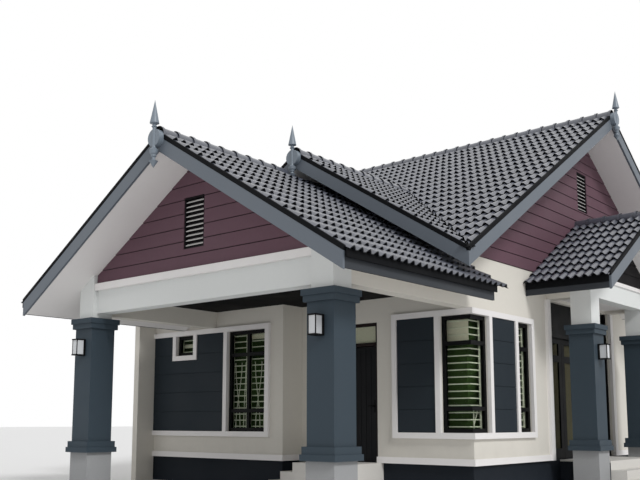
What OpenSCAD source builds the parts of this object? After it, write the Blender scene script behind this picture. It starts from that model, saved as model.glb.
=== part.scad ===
// Single-storey bungalow with three crossing gable roofs, a deep front porch
// and a small side porch. One end is a plain party wall.
// X runs to the right as seen from the front, Y to the back, Z up from ground.
// Plan values are measured from the front right corner of the walls.

/* [Plan] */
// Height of the floor above the ground
plinth_h = 500; // [300:10:700]
// Length of the front wall right of the entry recess
front_bay_w = 3777; // [3500:10:4200]
// Length of the front wall left of the entry recess
left_bay_w = 3773; // [3650:10:4500]
// How far the left front wall stands forward
bay_step = 550; // [450:10:700]
// Depth of the house from the right front wall to the back wall
house_d = 10200; // [9500:50:12000]
// Thickness of the walls
wall_t = 150; // [120:5:200]
// Thickness of the party wall
party_t = 150; // [120:5:200]
// How far the party wall runs forward of the left front wall
party_fin = 460; // [300:10:700]
// Height of the forward end of the party wall above the floor
party_fin_h = 2790; // [2500:10:2850]
// How far the dark plinth stands back under the walls
plinth_back = 30; // [10:5:60]

/* [Openings] */
// Height of the window and door heads above the floor
head_h = 2530; // [2450:10:2570]
// Height of the window sills above the floor
sill_h = 540; // [400:10:700]
// Width of the corner window on the front wall
corner_front_w = 600; // [450:10:800]
// Width of the corner window on the side wall
corner_side_w = 520; // [400:10:560]
// Start of the panel on the front wall, from the corner
front_panel_x = 1500; // [1300:10:1650]
// Start of the single side window, from the corner
side_win_y = 1580; // [1400:10:1700]
// Width of the single side window
side_win_w = 540; // [400:10:650]
// Distance from the corner to the entry doorway
entry_x = 1960; // [1850:10:2200]
// Width of the entry doorway
entry_w = 1000; // [900:10:1100]
// Start of the side doorway, from the corner
side_door_y = 2960; // [2900:10:3000]
// Width of the side doorway
side_door_w = 3000; // [2800:10:3000]
// Height of the side doors above the floor
side_door_h = 2440; // [2300:10:2500]
// Distance of the left window from the entry recess
left_win_x = 430; // [350:10:600]
// Width of the left window
left_win_w = 1056; // [900:10:1200]
// Distance of the small high window from the entry recess
small_win_x = 2500; // [2200:10:2600]
// Width of the small high window
small_win_w = 550; // [400:10:700]
// Height of the small high window
small_win_h = 420; // [350:10:500]

/* [Trim] */
// Width of the white surrounds
trim_w = 100; // [60:5:110]
// Thickness of the white surrounds
trim_t = 60; // [40:5:80]
// Height of the ledge round the base of the walls
ledge_h = 110; // [80:5:150]
// How far the ledge stands out
ledge_out = 40; // [20:5:60]
// Thickness of the navy panels
panel_t = 25; // [15:5:35]
// Width of the window frame bars
bar_w = 70; // [50:5:90]
// Depth of the window frames
sash_t = 60; // [45:5:80]
// Depth of the window frames behind the wall face
sash_in = 30; // [20:5:40]
// Thickness of the glass
glass_t = 8; // [6:1:12]

/* [Front porch] */
// Distance between the porch columns, centre to centre
column_pitch = 5480; // [5000:10:5800]
// Depth of the porch from the right front wall
porch_d = 3660; // [3200:10:4200]
// Side of the white blocks on the columns
block_w = 400; // [350:10:460]
// Side of the column shafts
shaft_w = 480; // [440:10:520]
// Side of the pale pedestals
pedestal_w = 500; // [460:10:560]
// Top of the pedestals above the floor
pedestal_top = 200; // [100:10:300]
// Height of the base mouldings
base_h = 190; // [120:10:240]
// How far the base mouldings stand out from the shafts
base_out = 72; // [40:1:80]
// How far the upper part of the base mouldings stands back from the lower
base_back = 22; // [8:1:30]
// Distance from the capitals up to the underside of the porch beams
capital_gap = 90; // [60:5:130]
// Height of each of the two capital tiers
tier_h = 90; // [70:2:120]
// How far the lower capital tier stands out from the shaft
tier_out = 42; // [20:1:50]
// How far the upper capital tier stands out from the lower
cap_out = 22; // [10:1:40]
// Height of the porch beams
beam_h = 408; // [340:2:410]
// Thickness of the porch beams
beam_t = 250; // [200:10:280]
// Height of the white strip on the porch beam
strip_h = 113; // [80:1:140]
// How far the front beam stands back behind the blocks
beam_back = 85; // [60:5:110]
// How far the white strip stands out from the porch beam
strip_out = 65; // [20:5:80]
// Height of the porch ceiling over the underside of the porch beams
ceiling_over = 330; // [270:5:350]
// Thickness of the porch ceiling
ceiling_t = 25; // [15:5:30]
// Depth of a stair tread
tread = 300; // [280:5:320]
// Depth of the entry landing
landing_d = 900; // [850:10:1200]
// Right end of the entry landing, from the corner
landing_x = 1860; // [1750:10:1950]

/* [Roofs] */
// Slope of every roof in degrees
pitch = 32; // [29:0.5:34]
// Upright thickness of the roof decks
deck_t = 180; // [120:5:200]
// Upright thickness of the white soffit lining
soffit_t = 55; // [30:5:60]
// Upright height of the barge boards and fascias
barge_h = 240; // [235:5:280]
// Thickness of the barge boards and fascias
barge_t = 40; // [25:5:50]
// Height of the porch eaves over the underside of the porch beams
porch_eave_over = 241; // [220:1:270]
// How far the porch eaves stand out from the blocks
porch_out = 680; // [500:10:700]
// How far the porch gable stands out from the blocks
porch_front_out = 660; // [450:10:800]
// Distance of the porch fascia's end from the right front wall
fascia_end = 500; // [200:10:600]
// Height of the main eaves over the underside of the porch beams
main_eave_over = 700; // [690:5:760]
// How far the main roof stands out over the side wall
side_out = 720; // [640:5:780]
// How far the roofs stand out over the right front wall
front_out = 1290; // [1200:5:1340]
// How far the main roof stands out over the back wall
back_out = 720; // [400:10:800]
// How far the cross roof's ridge stands to the right of the porch's
ridge_shift = 150; // [100:10:180]
// Height of the main gable's boards over the underside of the porch beams
gable_over = 924; // [870:1:940]

/* [Side porch] */
// Middle of the side porch, from the front corner
side_y = 4460; // [4400:10:4500]
// Distance between the side porch columns, centre to centre
side_pitch = 2780; // [2600:10:2900]
// Distance from the side wall to the front of the side blocks
side_d = 905; // [800:5:1000]
// How far the side porch roof stands out from the blocks
side_front_out = 735; // [600:5:800]
// Half width of the side porch roof
side_half = 2380; // [2300:10:2450]
// Height of the side porch eaves over the underside of the side beams
side_eave_over = 220; // [200:5:270]
// How much higher the side porch beams are than the porch beams
side_beam_over = 450; // [420:5:490]
// Height of the side porch beams
side_beam_h = 350; // [300:5:370]
// Width of the side landing in front of the wall
side_landing = 970; // [930:10:1100]

/* [Doors] */
// Width of the door frame jambs
jamb_w = 60; // [45:5:80]
// Thickness of the door leaves
leaf_t = 45; // [38:1:50]
// Gap round the door leaves
leaf_gap = 8; // [6:1:12]
// Height of the entry leaf above the floor
entry_leaf_h = 2100; // [2000:10:2150]
// Width of the stiles of the glazed leaves
stile_w = 130; // [90:5:150]
// Underside of the middle rail of the glazed leaves above the floor
mid_rail_z = 1905; // [1700:5:1950]
// Height of the middle rail of the glazed leaves
mid_rail_h = 130; // [80:5:180]
// Radius of the hinge barrels
barrel_r = 9; // [7:0.5:12]
// Length of the hinge barrels
barrel_h = 110; // [80:5:130]

/* [Ornaments] */
// Radius of the round ridge ends
disc_r = 140; // [110:5:160]
// Thickness of the round ridge ends
disc_t = 90; // [60:5:120]
// How far the middle of the round ridge ends lies below the ridge
disc_drop = 50; // [0:5:60]
// Height of the spikes above the ridge ends
spike_h = 560; // [450:5:650]
// Length of the drops below the ridge ends
drop_h = 535; // [450:5:600]
// Largest radius of the spikes
spike_r = 75; // [55:5:85]
// Width of the gable vents
vent_w = 480; // [350:10:550]
// Height of the gable vents
vent_h = 850; // [700:10:950]
// Height of the porch vent above the white strip
porch_vent_z = 330; // [280:10:480]
// Height of the main vent above the boards' lower edge
main_vent_z = 1640; // [700:10:1700]
// Slats in each gable vent
vent_slats = 10; // [5:1:11]
// Height of the wall lamps
lamp_h = 290; // [220:10:340]
// Width of the wall lamps
lamp_w = 150; // [110:5:180]
// How far the wall lamps stand out
lamp_out = 180; // [110:5:200]
// Top of the wall lamps above the floor
lamp_top = 2170; // [2050:10:2250]

/* [Hidden] */
$fn = 48;

F = plinth_h;
t = tan(pitch);
under = deck_t + soffit_t;
// the porch beams stand on the line of the surrounds, and every other level
// of the porches and roofs follows them
beam_z = head_h + trim_w;
capital_top = beam_z - capital_gap;
ceiling_z = beam_z + ceiling_over;
porch_eave_z = beam_z + porch_eave_over;
main_eave_z = beam_z + main_eave_over;
gable_z = beam_z + gable_over;
side_beam_z = beam_z + side_beam_over;
side_eave_z = side_beam_z + side_eave_over;
tall = 20000;
// walls
x_ret = -front_bay_w;
x_party = x_ret - left_bay_w;
x_left = x_party - party_t;
y_back = house_d;
y_in = y_back - wall_t;
// porch roof, ridge along Y
p_x = -(column_pitch + block_w) / 2;
p_half = porch_out - p_x;
p_front = -porch_d - porch_front_out;
p_ridge = F + porch_eave_z + t * p_half;
// cross roof, ridge along Y
c_x = p_x + ridge_shift;
cross_half = side_out - c_x;
c_ridge = F + main_eave_z + t * cross_half;
c_end = cross_half - front_out;
// main roof, ridge along X
m_half = (front_out + y_back + back_out) / 2;
m_y = m_half - front_out;
m_ridge = F + main_eave_z + t * m_half;
// side porch roof, ridge along X
s_end = side_d + side_front_out;
s_ridge = F + side_eave_z + t * side_half;
// how far the ridge ends stand out in front of the barge boards
orn_out = max(disc_t, 2 * spike_r + 3);
// middle of the outline on the ground
mid_x = (x_left + s_end + orn_out) / 2;
mid_y = (p_front - barge_t - orn_out + y_back + back_out + barge_t) / 2;

module site() { translate([-mid_x, -mid_y, 0]) children(); }
// box between two corners
module box(a, b) { translate(a) cube(b - a); }
// extrude an X-Z outline from y0 to y1
module along_y(y0, y1) {
    translate([0, y1, 0]) rotate([90, 0, 0]) linear_extrude(y1 - y0) children();
}
// extrude a Y-Z outline from x0 to x1
module along_x(x0, x1) {
    translate([x0, 0, 0]) rotate([90, 0, 90]) linear_extrude(x1 - x0) children();
}
// bent band below a gable roof's top line, from depth a to depth b
module band(mid, half, ridge, a, b) {
    e = ridge - t * half;
    polygon([[mid - half, e - a], [mid, ridge - a], [mid + half, e - a],
        [mid + half, e - b], [mid, ridge - b], [mid - half, e - b]]);
}
// everything under a gable roof's underside
module below(mid, half, ridge) {
    e = ridge - t * half - under;
    polygon([[mid - half, 0], [mid - half, e], [mid, ridge - under],
        [mid + half, e], [mid + half, 0]]);
}
module porch_below() {
    along_y(p_front, 0) below(p_x, p_half, p_ridge);
}
module side_below() {
    along_x(0, s_end) below(side_y, side_half, s_ridge);
}
module house_below() {
    along_x(x_left, side_out) below(m_y, m_half, m_ridge);
    along_y(-front_out, c_end) below(c_x, cross_half, c_ridge);
}
// plan of the cross roof between its two valleys
module cross_plan() {
    linear_extrude(tall) polygon([[side_out, -front_out], [c_x, c_end],
        [c_x - cross_half, -front_out]]);
}

module plinth() color([0.13, 0.15, 0.18]) site() linear_extrude(F) polygon([
    [x_left, -bay_step + plinth_back], [x_ret - plinth_back, -bay_step + plinth_back],
    [x_ret - plinth_back, plinth_back], [-plinth_back, plinth_back],
    [-plinth_back, y_back - plinth_back], [x_left, y_back - plinth_back]]);

module base_ledge() color([0.9, 0.89, 0.88]) site() {
    o = ledge_out;
    translate([0, 0, F]) linear_extrude(ledge_h) {
        difference() {
            polygon([[x_party, -bay_step - o], [x_ret + o, -bay_step - o], [x_ret + o, -o],
                [-entry_x - entry_w, -o], [-entry_x - entry_w, 0], [x_ret, 0],
                [x_ret, -bay_step], [x_party, -bay_step]]);
        }
        polygon([[-entry_x, -o], [o, -o], [o, side_door_y - 1.4 * trim_w],
            [0, side_door_y - 1.4 * trim_w], [0, 0], [-entry_x, 0]]);
        polygon([[0, side_door_y + side_door_w + 1.4 * trim_w],
            [o, side_door_y + side_door_w + 1.4 * trim_w], [o, y_back + o],
            [x_left, y_back + o], [x_left, y_back], [0, y_back]]);
    }
}

module front_wall_left() color([0.79, 0.77, 0.73]) site() difference() {
    intersection() {
        box([x_party, -bay_step, F], [x_ret, wall_t - bay_step, tall]);
        house_below();
    }
    box([x_ret - left_win_x - left_win_w, -bay_step - 1, F + sill_h],
        [x_ret - left_win_x, wall_t - bay_step + 1, F + head_h]);
    box([x_ret - small_win_x - small_win_w, -bay_step - 1, F + head_h - small_win_h],
        [x_ret - small_win_x, wall_t - bay_step + 1, F + head_h]);
}

module entry_return_wall() color([0.79, 0.77, 0.73]) site() {
    intersection() {
        box([x_ret - wall_t, wall_t - bay_step, F], [x_ret, wall_t, tall]);
        house_below();
    }
    box([x_ret, 0, F], [-entry_x - entry_w, wall_t, F + head_h]);
}

module front_wall_right() color([0.79, 0.77, 0.73]) site() difference() {
    box([-entry_x, 0, F], [-wall_t, wall_t, F + head_h]);
    box([-corner_front_w, -1, F + sill_h], [0, wall_t + 1, tall]);
}

module front_gable_wall() color([0.79, 0.77, 0.73]) site() intersection() {
    box([x_ret, 0, F + head_h], [-wall_t, wall_t, tall]);
    house_below();
}

module side_wall_front() color([0.86, 0.84, 0.8]) site() difference() {
    intersection() {
        box([-wall_t, 0, F], [0, side_door_y, F + gable_z]);
        house_below();
    }
    box([-wall_t - 1, -1, F + sill_h], [1, corner_side_w, F + head_h]);
    box([-wall_t - 1, side_win_y, F + sill_h],
        [1, side_win_y + side_win_w, F + head_h]);
}

module side_wall_back() color([0.86, 0.84, 0.8]) site() intersection() {
    box([-wall_t, side_door_y + side_door_w, F], [0, y_back, F + gable_z]);
    house_below();
}

module side_wall_head() color([0.86, 0.84, 0.8]) site()
    box([-wall_t, side_door_y, F + side_beam_z],
        [0, side_door_y + side_door_w, F + gable_z]);

module back_wall() color([0.82, 0.8, 0.76]) site() intersection() {
    box([x_party, y_in, F], [-wall_t, y_back, tall]);
    house_below();
}

module party_wall() color([0.84, 0.82, 0.79]) site() {
    intersection() {
        box([x_left, -bay_step, F], [x_party, y_back, tall]);
        house_below();
    }
    box([x_left, -bay_step - party_fin, 0], [x_party, -bay_step, F + party_fin_h]);
}

// one pale pedestal standing on the ground under a column centre
module pedestal(x, y) translate([x, y, 0]) {
    box([-pedestal_w / 2, -pedestal_w / 2, 0],
        [pedestal_w / 2, pedestal_w / 2, F + pedestal_top]);
}
// square tier centred on the column
module tier(w, z0, z1) box([-w / 2, -w / 2, z0], [w / 2, w / 2, z1]);
// square column with a base moulding and a two-tier capital
module column() {
    z0 = F + pedestal_top;
    z1 = F + capital_top;
    tier(shaft_w + 2 * base_out, z0, z0 + base_h * 0.46);
    tier(shaft_w + 2 * (base_out - base_back), z0 + base_h * 0.46, z0 + base_h);
    tier(shaft_w, z0 + base_h, z1 - 2 * tier_h);
    tier(shaft_w + 2 * tier_out, z1 - 2 * tier_h, z1 - tier_h);
    tier(shaft_w + 2 * (tier_out + cap_out), z1 - tier_h, z1);
}
// column centres
col_y = -porch_d + block_w / 2;
col_r = [-block_w / 2, col_y];
col_l = [-block_w / 2 - column_pitch, col_y];
sc_x = side_d - block_w / 2;
sc_f = [sc_x, side_y - side_pitch / 2];
sc_b = [sc_x, side_y + side_pitch / 2];

module pedestals() color([0.66, 0.65, 0.64]) site()
    for (c = [col_r, col_l, sc_f, sc_b]) pedestal(c[0], c[1]);
module column_right() color([0.24, 0.28, 0.33]) site() translate(col_r) column();
module column_left() color([0.24, 0.28, 0.33]) site() translate(col_l) column();
module side_column_front() color([0.2, 0.24, 0.29]) site() translate(sc_f) column();
module side_column_back() color([0.2, 0.24, 0.29]) site() translate(sc_b) column();

// white block over a column, up to the roof
module block(c) translate([c[0], c[1], 0])
    tier(block_w, F + capital_top, tall);

module porch_front_beam() color([0.86, 0.85, 0.83]) site() {
    intersection() {
        union() { block(col_r); block(col_l); }
        porch_below();
    }
    box([col_l[0] + block_w / 2, beam_back - porch_d, F + beam_z],
        [-block_w, beam_back + beam_t - porch_d, F + beam_z + beam_h + strip_h]);
    box([col_l[0] + block_w / 2, beam_back - porch_d - strip_out, F + beam_z + beam_h],
        [-block_w, beam_back - porch_d, F + beam_z + beam_h + strip_h]);
}

module porch_side_beams() color([0.86, 0.84, 0.8]) site() intersection() {
    union() {
        box([-beam_t, block_w - porch_d, F + beam_z], [0, 0, F + beam_z + beam_h]);
        box([col_l[0] - block_w / 2, block_w - porch_d, F + beam_z],
            [col_l[0] - block_w / 2 + beam_t, -bay_step, F + beam_z + beam_h]);
    }
    porch_below();
}

module side_porch_beam() color([0.86, 0.85, 0.83]) site() {
    y0 = sc_f[1] + block_w / 2;
    y1 = sc_b[1] - block_w / 2;
    top = F + side_beam_z + side_beam_h;
    intersection() {
        union() { block(sc_f); block(sc_b); }
        side_below();
    }
    box([side_d - 20 - beam_t, y0, F + side_beam_z], [side_d - 20, y1, top + 70]);
    box([side_d - 20, y0, top], [side_d + 5, y1, top + 70]);
}

module side_porch_arms() color([0.86, 0.84, 0.8]) site() intersection() {
    for (y = [sc_f[1] - block_w / 2, sc_b[1] + block_w / 2 - beam_t])
        box([0, y, F + side_beam_z], [side_d - block_w, y + beam_t,
            F + side_beam_z + side_beam_h]);
    side_below();
}

module porch_ceiling() color([0.06, 0.06, 0.07]) site()
    translate([0, 0, F + ceiling_z]) linear_extrude(ceiling_t) polygon([
        [col_l[0] - block_w / 2 + beam_t, block_w - porch_d],
        [col_l[0] + block_w / 2, block_w - porch_d],
        [col_l[0] + block_w / 2, beam_back + beam_t - porch_d],
        [-block_w, beam_back + beam_t - porch_d], [-block_w, block_w - porch_d],
        [-beam_t, block_w - porch_d], [-beam_t, 0], [x_ret, 0],
        [x_ret, -bay_step], [col_l[0] - block_w / 2 + beam_t, -bay_step]]);

module side_porch_ceiling() color([0.8, 0.76, 0.7]) site() {
    x0 = side_d - block_w;
    x1 = side_d - 20 - beam_t;
    y0 = sc_f[1] - block_w / 2 + beam_t;
    y1 = sc_b[1] + block_w / 2 - beam_t;
    translate([0, 0, F + side_beam_z + 60]) linear_extrude(ceiling_t) polygon([
        [0, y0], [x0, y0], [x0, sc_f[1] + block_w / 2], [x1, sc_f[1] + block_w / 2],
        [x1, sc_b[1] - block_w / 2], [x0, sc_b[1] - block_w / 2], [x0, y1], [0, y1]]);
}

// roof shapes between two upright depths below their top lines
module porch_shape(a, b) difference() {
    along_y(p_front, 0) band(p_x, p_half, p_ridge, a, b);
    box([p_x - p_half - 1, -bay_step, 0], [x_ret, 1, tall]);
    // outside the side wall the eave ends with its fascia
    box([0, -fascia_end, 0], [tall, 1, tall]);
}
module cross_shape(a, b) intersection() {
    along_y(-front_out, c_end) band(c_x, cross_half, c_ridge, a, b);
    cross_plan();
}
module main_shape(a, b) difference() {
    along_x(x_left, side_out) band(m_y, m_half, m_ridge, a, b);
    cross_plan();
}
module side_shape(a, b)
    along_x(0, s_end - barge_t) band(side_y, side_half, s_ridge, a, b);

module porch_roof() color([0.27, 0.29, 0.33]) site() porch_shape(0, deck_t);
module cross_roof() color([0.27, 0.29, 0.33]) site() cross_shape(0, deck_t);
module main_roof() color([0.27, 0.29, 0.33]) site() main_shape(0, deck_t);
module side_roof() color([0.27, 0.29, 0.33]) site() side_shape(0, deck_t);
module soffits() color([0.82, 0.8, 0.78]) site() {
    porch_shape(deck_t, under);
    cross_shape(deck_t, under);
    main_shape(deck_t, under);
    side_shape(deck_t, under);
}

module porch_barge() color([0.37, 0.4, 0.44]) site()
    along_y(p_front - barge_t, p_front)
        band(p_x, p_half + barge_t, p_ridge, 0, barge_h);
module cross_barge() color([0.37, 0.4, 0.44]) site() intersection() {
    along_y(-front_out - barge_t, -front_out)
        band(c_x, cross_half + barge_t, c_ridge, 0, barge_h);
    box([c_x - cross_half, -tall, 0], [tall, tall, tall]);
}
module main_barge() color([0.37, 0.4, 0.44]) site() intersection() {
    along_x(side_out, side_out + barge_t)
        band(m_y, m_half + barge_t, m_ridge, 0, barge_h);
    box([-tall, -front_out, 0], [tall, tall, tall]);
}
module side_barge() color([0.37, 0.4, 0.44]) site()
    along_x(s_end - barge_t, s_end)
        band(side_y, side_half + barge_t, s_ridge, 0, barge_h);

module fascias() color([0.37, 0.4, 0.44]) site() {
    pz = F + porch_eave_z;
    mz = F + main_eave_z;
    sz = F + side_eave_z;
    box([porch_out, p_front, pz - barge_h], [porch_out + barge_t, -fascia_end, pz]);
    box([p_x - p_half - barge_t, p_front, pz - barge_h],
        [p_x - p_half, -bay_step, pz]);
    box([x_left, -front_out - barge_t, mz - barge_h],
        [c_x - cross_half, -front_out, mz]);
    box([x_left, y_back + back_out, mz - barge_h],
        [side_out, y_back + back_out + barge_t, mz]);
    for (y = [side_y - side_half - barge_t, side_y + side_half])
        box([0, y, sz - barge_h], [s_end - barge_t, y + barge_t, sz]);
}

// outline of a gable vent, standing on the gable boards
vent_z1 = F + beam_z + beam_h + strip_h + porch_vent_z;
vent_z3 = F + gable_z + main_vent_z;

module porch_gable() color([0.3, 0.2, 0.25]) site() difference() {
    intersection() {
        box([col_l[0] + block_w / 2, beam_back - porch_d, F + beam_z + beam_h + strip_h],
            [-block_w, beam_back - porch_d + 80, tall]);
        porch_below();
    }
    box([p_x - vent_w / 2, -tall, vent_z1], [p_x + vent_w / 2, tall, vent_z1 + vent_h]);
}
module main_gable() color([0.42, 0.28, 0.33]) site() difference() {
    intersection() {
        box([-wall_t, 0, F + gable_z], [0, y_back, tall]);
        house_below();
    }
    box([-tall, m_y - vent_w / 2, vent_z3], [tall, m_y + vent_w / 2, vent_z3 + vent_h]);
}
module side_gable() color([0.12, 0.11, 0.13]) site() intersection() {
    box([side_d - 100, sc_f[1] + block_w / 2, F + side_beam_z + side_beam_h + 70],
        [side_d - 20, sc_b[1] - block_w / 2, tall]);
    side_below();
}

// louvred vent with its frame, facing -Y, front face on y = 0
module vent() {
    r = 30;
    pitch_z = (vent_h - 2 * r) / vent_slats;
    difference() {
        box([-vent_w / 2, -5, 0], [vent_w / 2, 65, vent_h]);
        box([r - vent_w / 2, -6, r], [vent_w / 2 - r, 66, vent_h - r]);
    }
    for (i = [0 : vent_slats - 1])
        translate([0, 30, r + pitch_z * (i + 0.5)]) rotate([35, 0, 0])
            cube([vent_w - r, 74, 12], center = true);
}
module gable_vents() color([0.75, 0.74, 0.75]) site() {
    translate([p_x, beam_back - porch_d, vent_z1]) vent();
    translate([0, m_y, vent_z3]) rotate([0, 0, 90]) vent();
}

// turned spike, round ridge end and drop of depth d, hung on the face y = 0
module finial(d) {
    up = disc_r - disc_drop;
    k = (d - disc_r - disc_drop + 15) / 410;
    translate([0, 0, -disc_drop]) rotate([90, 0, 0]) cylinder(r = disc_r, h = disc_t);
    translate([0, -spike_r - 3, 0]) rotate_extrude() polygon([
        [0, -d], [55, 100 * k - d], [70, 125 * k - d], [30, 150 * k - d],
        [26, 190 * k - d], [42, 210 * k - d], [42, 235 * k - d], [60, 262 * k - d],
        [68, 330 * k - d], [34, 372 * k - d], [30, 410 * k - d], [30, up + 20],
        [48, up + 34], [34, up + 52], [30, up + 70], [spike_r, up + 92],
        [spike_r - 4, up + 110], [0, spike_h]]);
}
// the cross roof's drop ends just over the porch ridge behind which it hangs
cross_drop = min(drop_h, c_ridge - p_ridge + t * abs(c_x - p_x) - 35);
module finials() color([0.48, 0.52, 0.56]) site() {
    translate([p_x, p_front - barge_t, p_ridge]) finial(drop_h);
    translate([c_x, -front_out - barge_t, c_ridge]) finial(cross_drop);
    translate([side_out + barge_t, m_y, m_ridge]) rotate([0, 0, 90]) finial(drop_h);
    translate([s_end, side_y, s_ridge]) rotate([0, 0, 90]) finial(drop_h);
}

// levels of the surrounds
sz0 = F + sill_h - trim_w;
sz1 = F + head_h + trim_w;
fp = front_panel_x;
module surrounds() color([0.9, 0.89, 0.88]) site() {
    w = trim_w;
    d = trim_t;
    lx1 = x_ret - left_win_x + w;
    lx0 = lx1 - left_win_w - 2 * w;
    y1 = side_win_y + side_win_w + w;
    // round the corner: rails first, then the uprights between them
    for (z = [sz0, sz1 - w]) {
        box([-fp - w, -d, z], [d, 0, z + w]);
        box([0, 0, z], [d, y1, z + w]);
    }
    for (x = [-fp - w, -corner_front_w - w])
        box([x, -d, sz0 + w], [x + w, 0, sz1 - w]);
    for (y = [corner_side_w, side_win_y - w, y1 - w])
        box([0, y, sz0 + w], [d, y + w, sz1 - w]);
    // left front wall
    yf = -bay_step;
    for (z = [sz0, sz1 - w]) box([x_party, yf - d, z], [lx1, yf, z + w]);
    for (x = [lx0, lx1 - w]) box([x, yf - d, sz0 + w], [x + w, yf, sz1 - w]);
    sx1 = x_ret - small_win_x + w;
    sx0 = sx1 - small_win_w - 2 * w;
    for (x = [sx0, sx1 - w])
        box([x, yf - d, F + head_h - small_win_h], [x + w, yf, sz1 - w]);
    box([sx0, yf - d, F + head_h - small_win_h - w], [sx1, yf,
        F + head_h - small_win_h]);
    // uprights beside the side doors
    for (y = [side_door_y - 1.4 * w, side_door_y + side_door_w])
        box([0, y, F], [d, y + 1.4 * w, F + side_beam_z]);
}

// window frame in the X-Z plane, front face on y = 0, with two cross bars
// and a post between columns of lights
module sash(w, h, cols, rails) difference() {
    cube([w, sash_t, h]);
    cw = (w - bar_w) / cols;
    zs = concat([0], rails, [h - bar_w]);
    for (i = [0 : cols - 1]) for (j = [0 : len(zs) - 2])
        box([i * cw + bar_w, -1, zs[j] + bar_w], [(i + 1) * cw, sash_t + 1, zs[j + 1]]);
}
// glass filling the same frame from edge bar to edge bar
module lights(w, h, cols, rails) {
    cw = (w - bar_w) / cols;
    zs = concat([0], rails, [h - bar_w]);
    for (i = [0 : cols - 1]) for (j = [0 : len(zs) - 2])
        box([i * cw + bar_w, (sash_t - glass_t) / 2, zs[j] + bar_w],
            [(i + 1) * cw, (sash_t + glass_t) / 2, zs[j + 1]]);
}
win_h = head_h - sill_h;
rails2 = [370, 1480];
// corner window: rails that run round the corner, where the panes meet, with an
// upright at each far end
module corner_place_front() translate([-corner_front_w, sash_in, F + sill_h]) children();
module corner_place_side() translate([-sash_in, sash_in, F + sill_h])
    rotate([0, 0, 90]) children();
cf_w = corner_front_w - sash_in;
cs_w = corner_side_w - sash_in;
corner_z = concat([0], rails2, [win_h - bar_w]);
module corner_sash(w, from, to) difference() {
    cube([w, sash_t, win_h]);
    for (j = [0 : len(corner_z) - 2])
        box([from, -1, corner_z[j] + bar_w], [to, sash_t + 1, corner_z[j + 1]]);
}
module corner_lights(from, to) for (j = [0 : len(corner_z) - 2])
    box([from, (sash_t - glass_t) / 2, corner_z[j] + bar_w],
        [to, (sash_t + glass_t) / 2, corner_z[j + 1]]);
module side_place() translate([-sash_in, side_win_y, F + sill_h]) rotate([0, 0, 90])
    children();
module left_place() translate([x_ret - left_win_x - left_win_w, sash_in - bay_step,
    F + sill_h]) children();
module small_place() translate([x_ret - small_win_x - small_win_w,
    sash_in - bay_step, F + head_h - small_win_h]) children();

module window_frames() color([0.07, 0.07, 0.08]) site() {
    corner_place_front() corner_sash(cf_w, bar_w, cf_w + 1);
    corner_place_side() corner_sash(cs_w, -1, cs_w - bar_w);
    side_place() sash(side_win_w, win_h, 1, rails2);
    left_place() sash(left_win_w, win_h, 2, rails2);
    small_place() sash(small_win_w, small_win_h, 1, []);
}
module window_glass() color([0.3, 0.4, 0.35, 0.5]) site() {
    corner_place_front() corner_lights(bar_w, cf_w - (sash_t + glass_t) / 2 - 3);
    corner_place_side() corner_lights((sash_t - glass_t) / 2, cs_w - bar_w);
    side_place() lights(side_win_w, win_h, 1, rails2);
    left_place() lights(left_win_w, win_h, 2, rails2);
    small_place() lights(small_win_w, small_win_h, 1, []);
    // light over the entry door
    box([-entry_x - entry_w + jamb_w, 80, F + entry_leaf_h + leaf_gap + jamb_w],
        [-entry_x - jamb_w, 80 + glass_t, F + head_h - jamb_w]);
}

module wall_panels() color([0.1, 0.14, 0.18]) site() {
    z0 = sz0 + trim_w;
    z1 = sz1 - trim_w;
    box([-fp, -panel_t, z0], [-corner_front_w - trim_w, 0, z1]);
    box([0, corner_side_w + trim_w, z0], [panel_t, side_win_y - trim_w, z1]);
    yf = -bay_step;
    difference() {
        box([x_party, yf - panel_t, z0],
            [x_ret - left_win_x - left_win_w - trim_w, yf, z1]);
        box([x_ret - small_win_x - small_win_w - trim_w, yf - 100,
            F + head_h - small_win_h - trim_w],
            [x_ret - small_win_x + trim_w, yf + 100, tall]);
    }
}

// butt hinges beside a leaf: pin on the z axis, jamb towards -X, the leaf's
// inner face just below the barrel in Y
pin_y = barrel_r - 0.3;
pin_x = leaf_gap / 2;
module hinges(z0, z1) for (k = [0.12, 0.5, 0.88])
    translate([0, 0, z0 + k * (z1 - z0) - barrel_h / 2]) {
        cylinder(r = barrel_r, h = barrel_h);
        box([-pin_x - 32, -pin_y, 0], [0, 3 - pin_y, barrel_h]);
    }

module entry_frame() color([0.16, 0.1, 0.09]) site() {
    translate([-entry_x - entry_w, 0, F]) difference() {
        box([0, 40, 0], [entry_w, wall_t, head_h]);
        box([jamb_w, 0, -1], [entry_w - jamb_w, tall, entry_leaf_h + leaf_gap]);
        box([jamb_w, 0, entry_leaf_h + leaf_gap + jamb_w],
            [entry_w - jamb_w, tall, head_h - jamb_w]);
    }
    translate([entry_x0 - pin_x, wall_t + pin_y, 0])
        hinges(F, F + entry_leaf_h);
}

entry_x0 = -entry_x - entry_w + jamb_w + leaf_gap;
entry_x1 = -entry_x - jamb_w - leaf_gap;
module entry_door() color([0.08, 0.09, 0.11]) site()
    box([entry_x0, wall_t - leaf_t, F + leaf_gap],
        [entry_x1, wall_t, F + entry_leaf_h]);

// side doors: four leaves in one frame, the two middle ones open
leaf_w = (side_door_w - 2 * jamb_w) / 4;
leaf_top = side_door_h - jamb_w;
y_f = side_door_y + jamb_w + leaf_w;
y_b = y_f + 2 * leaf_w;
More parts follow.
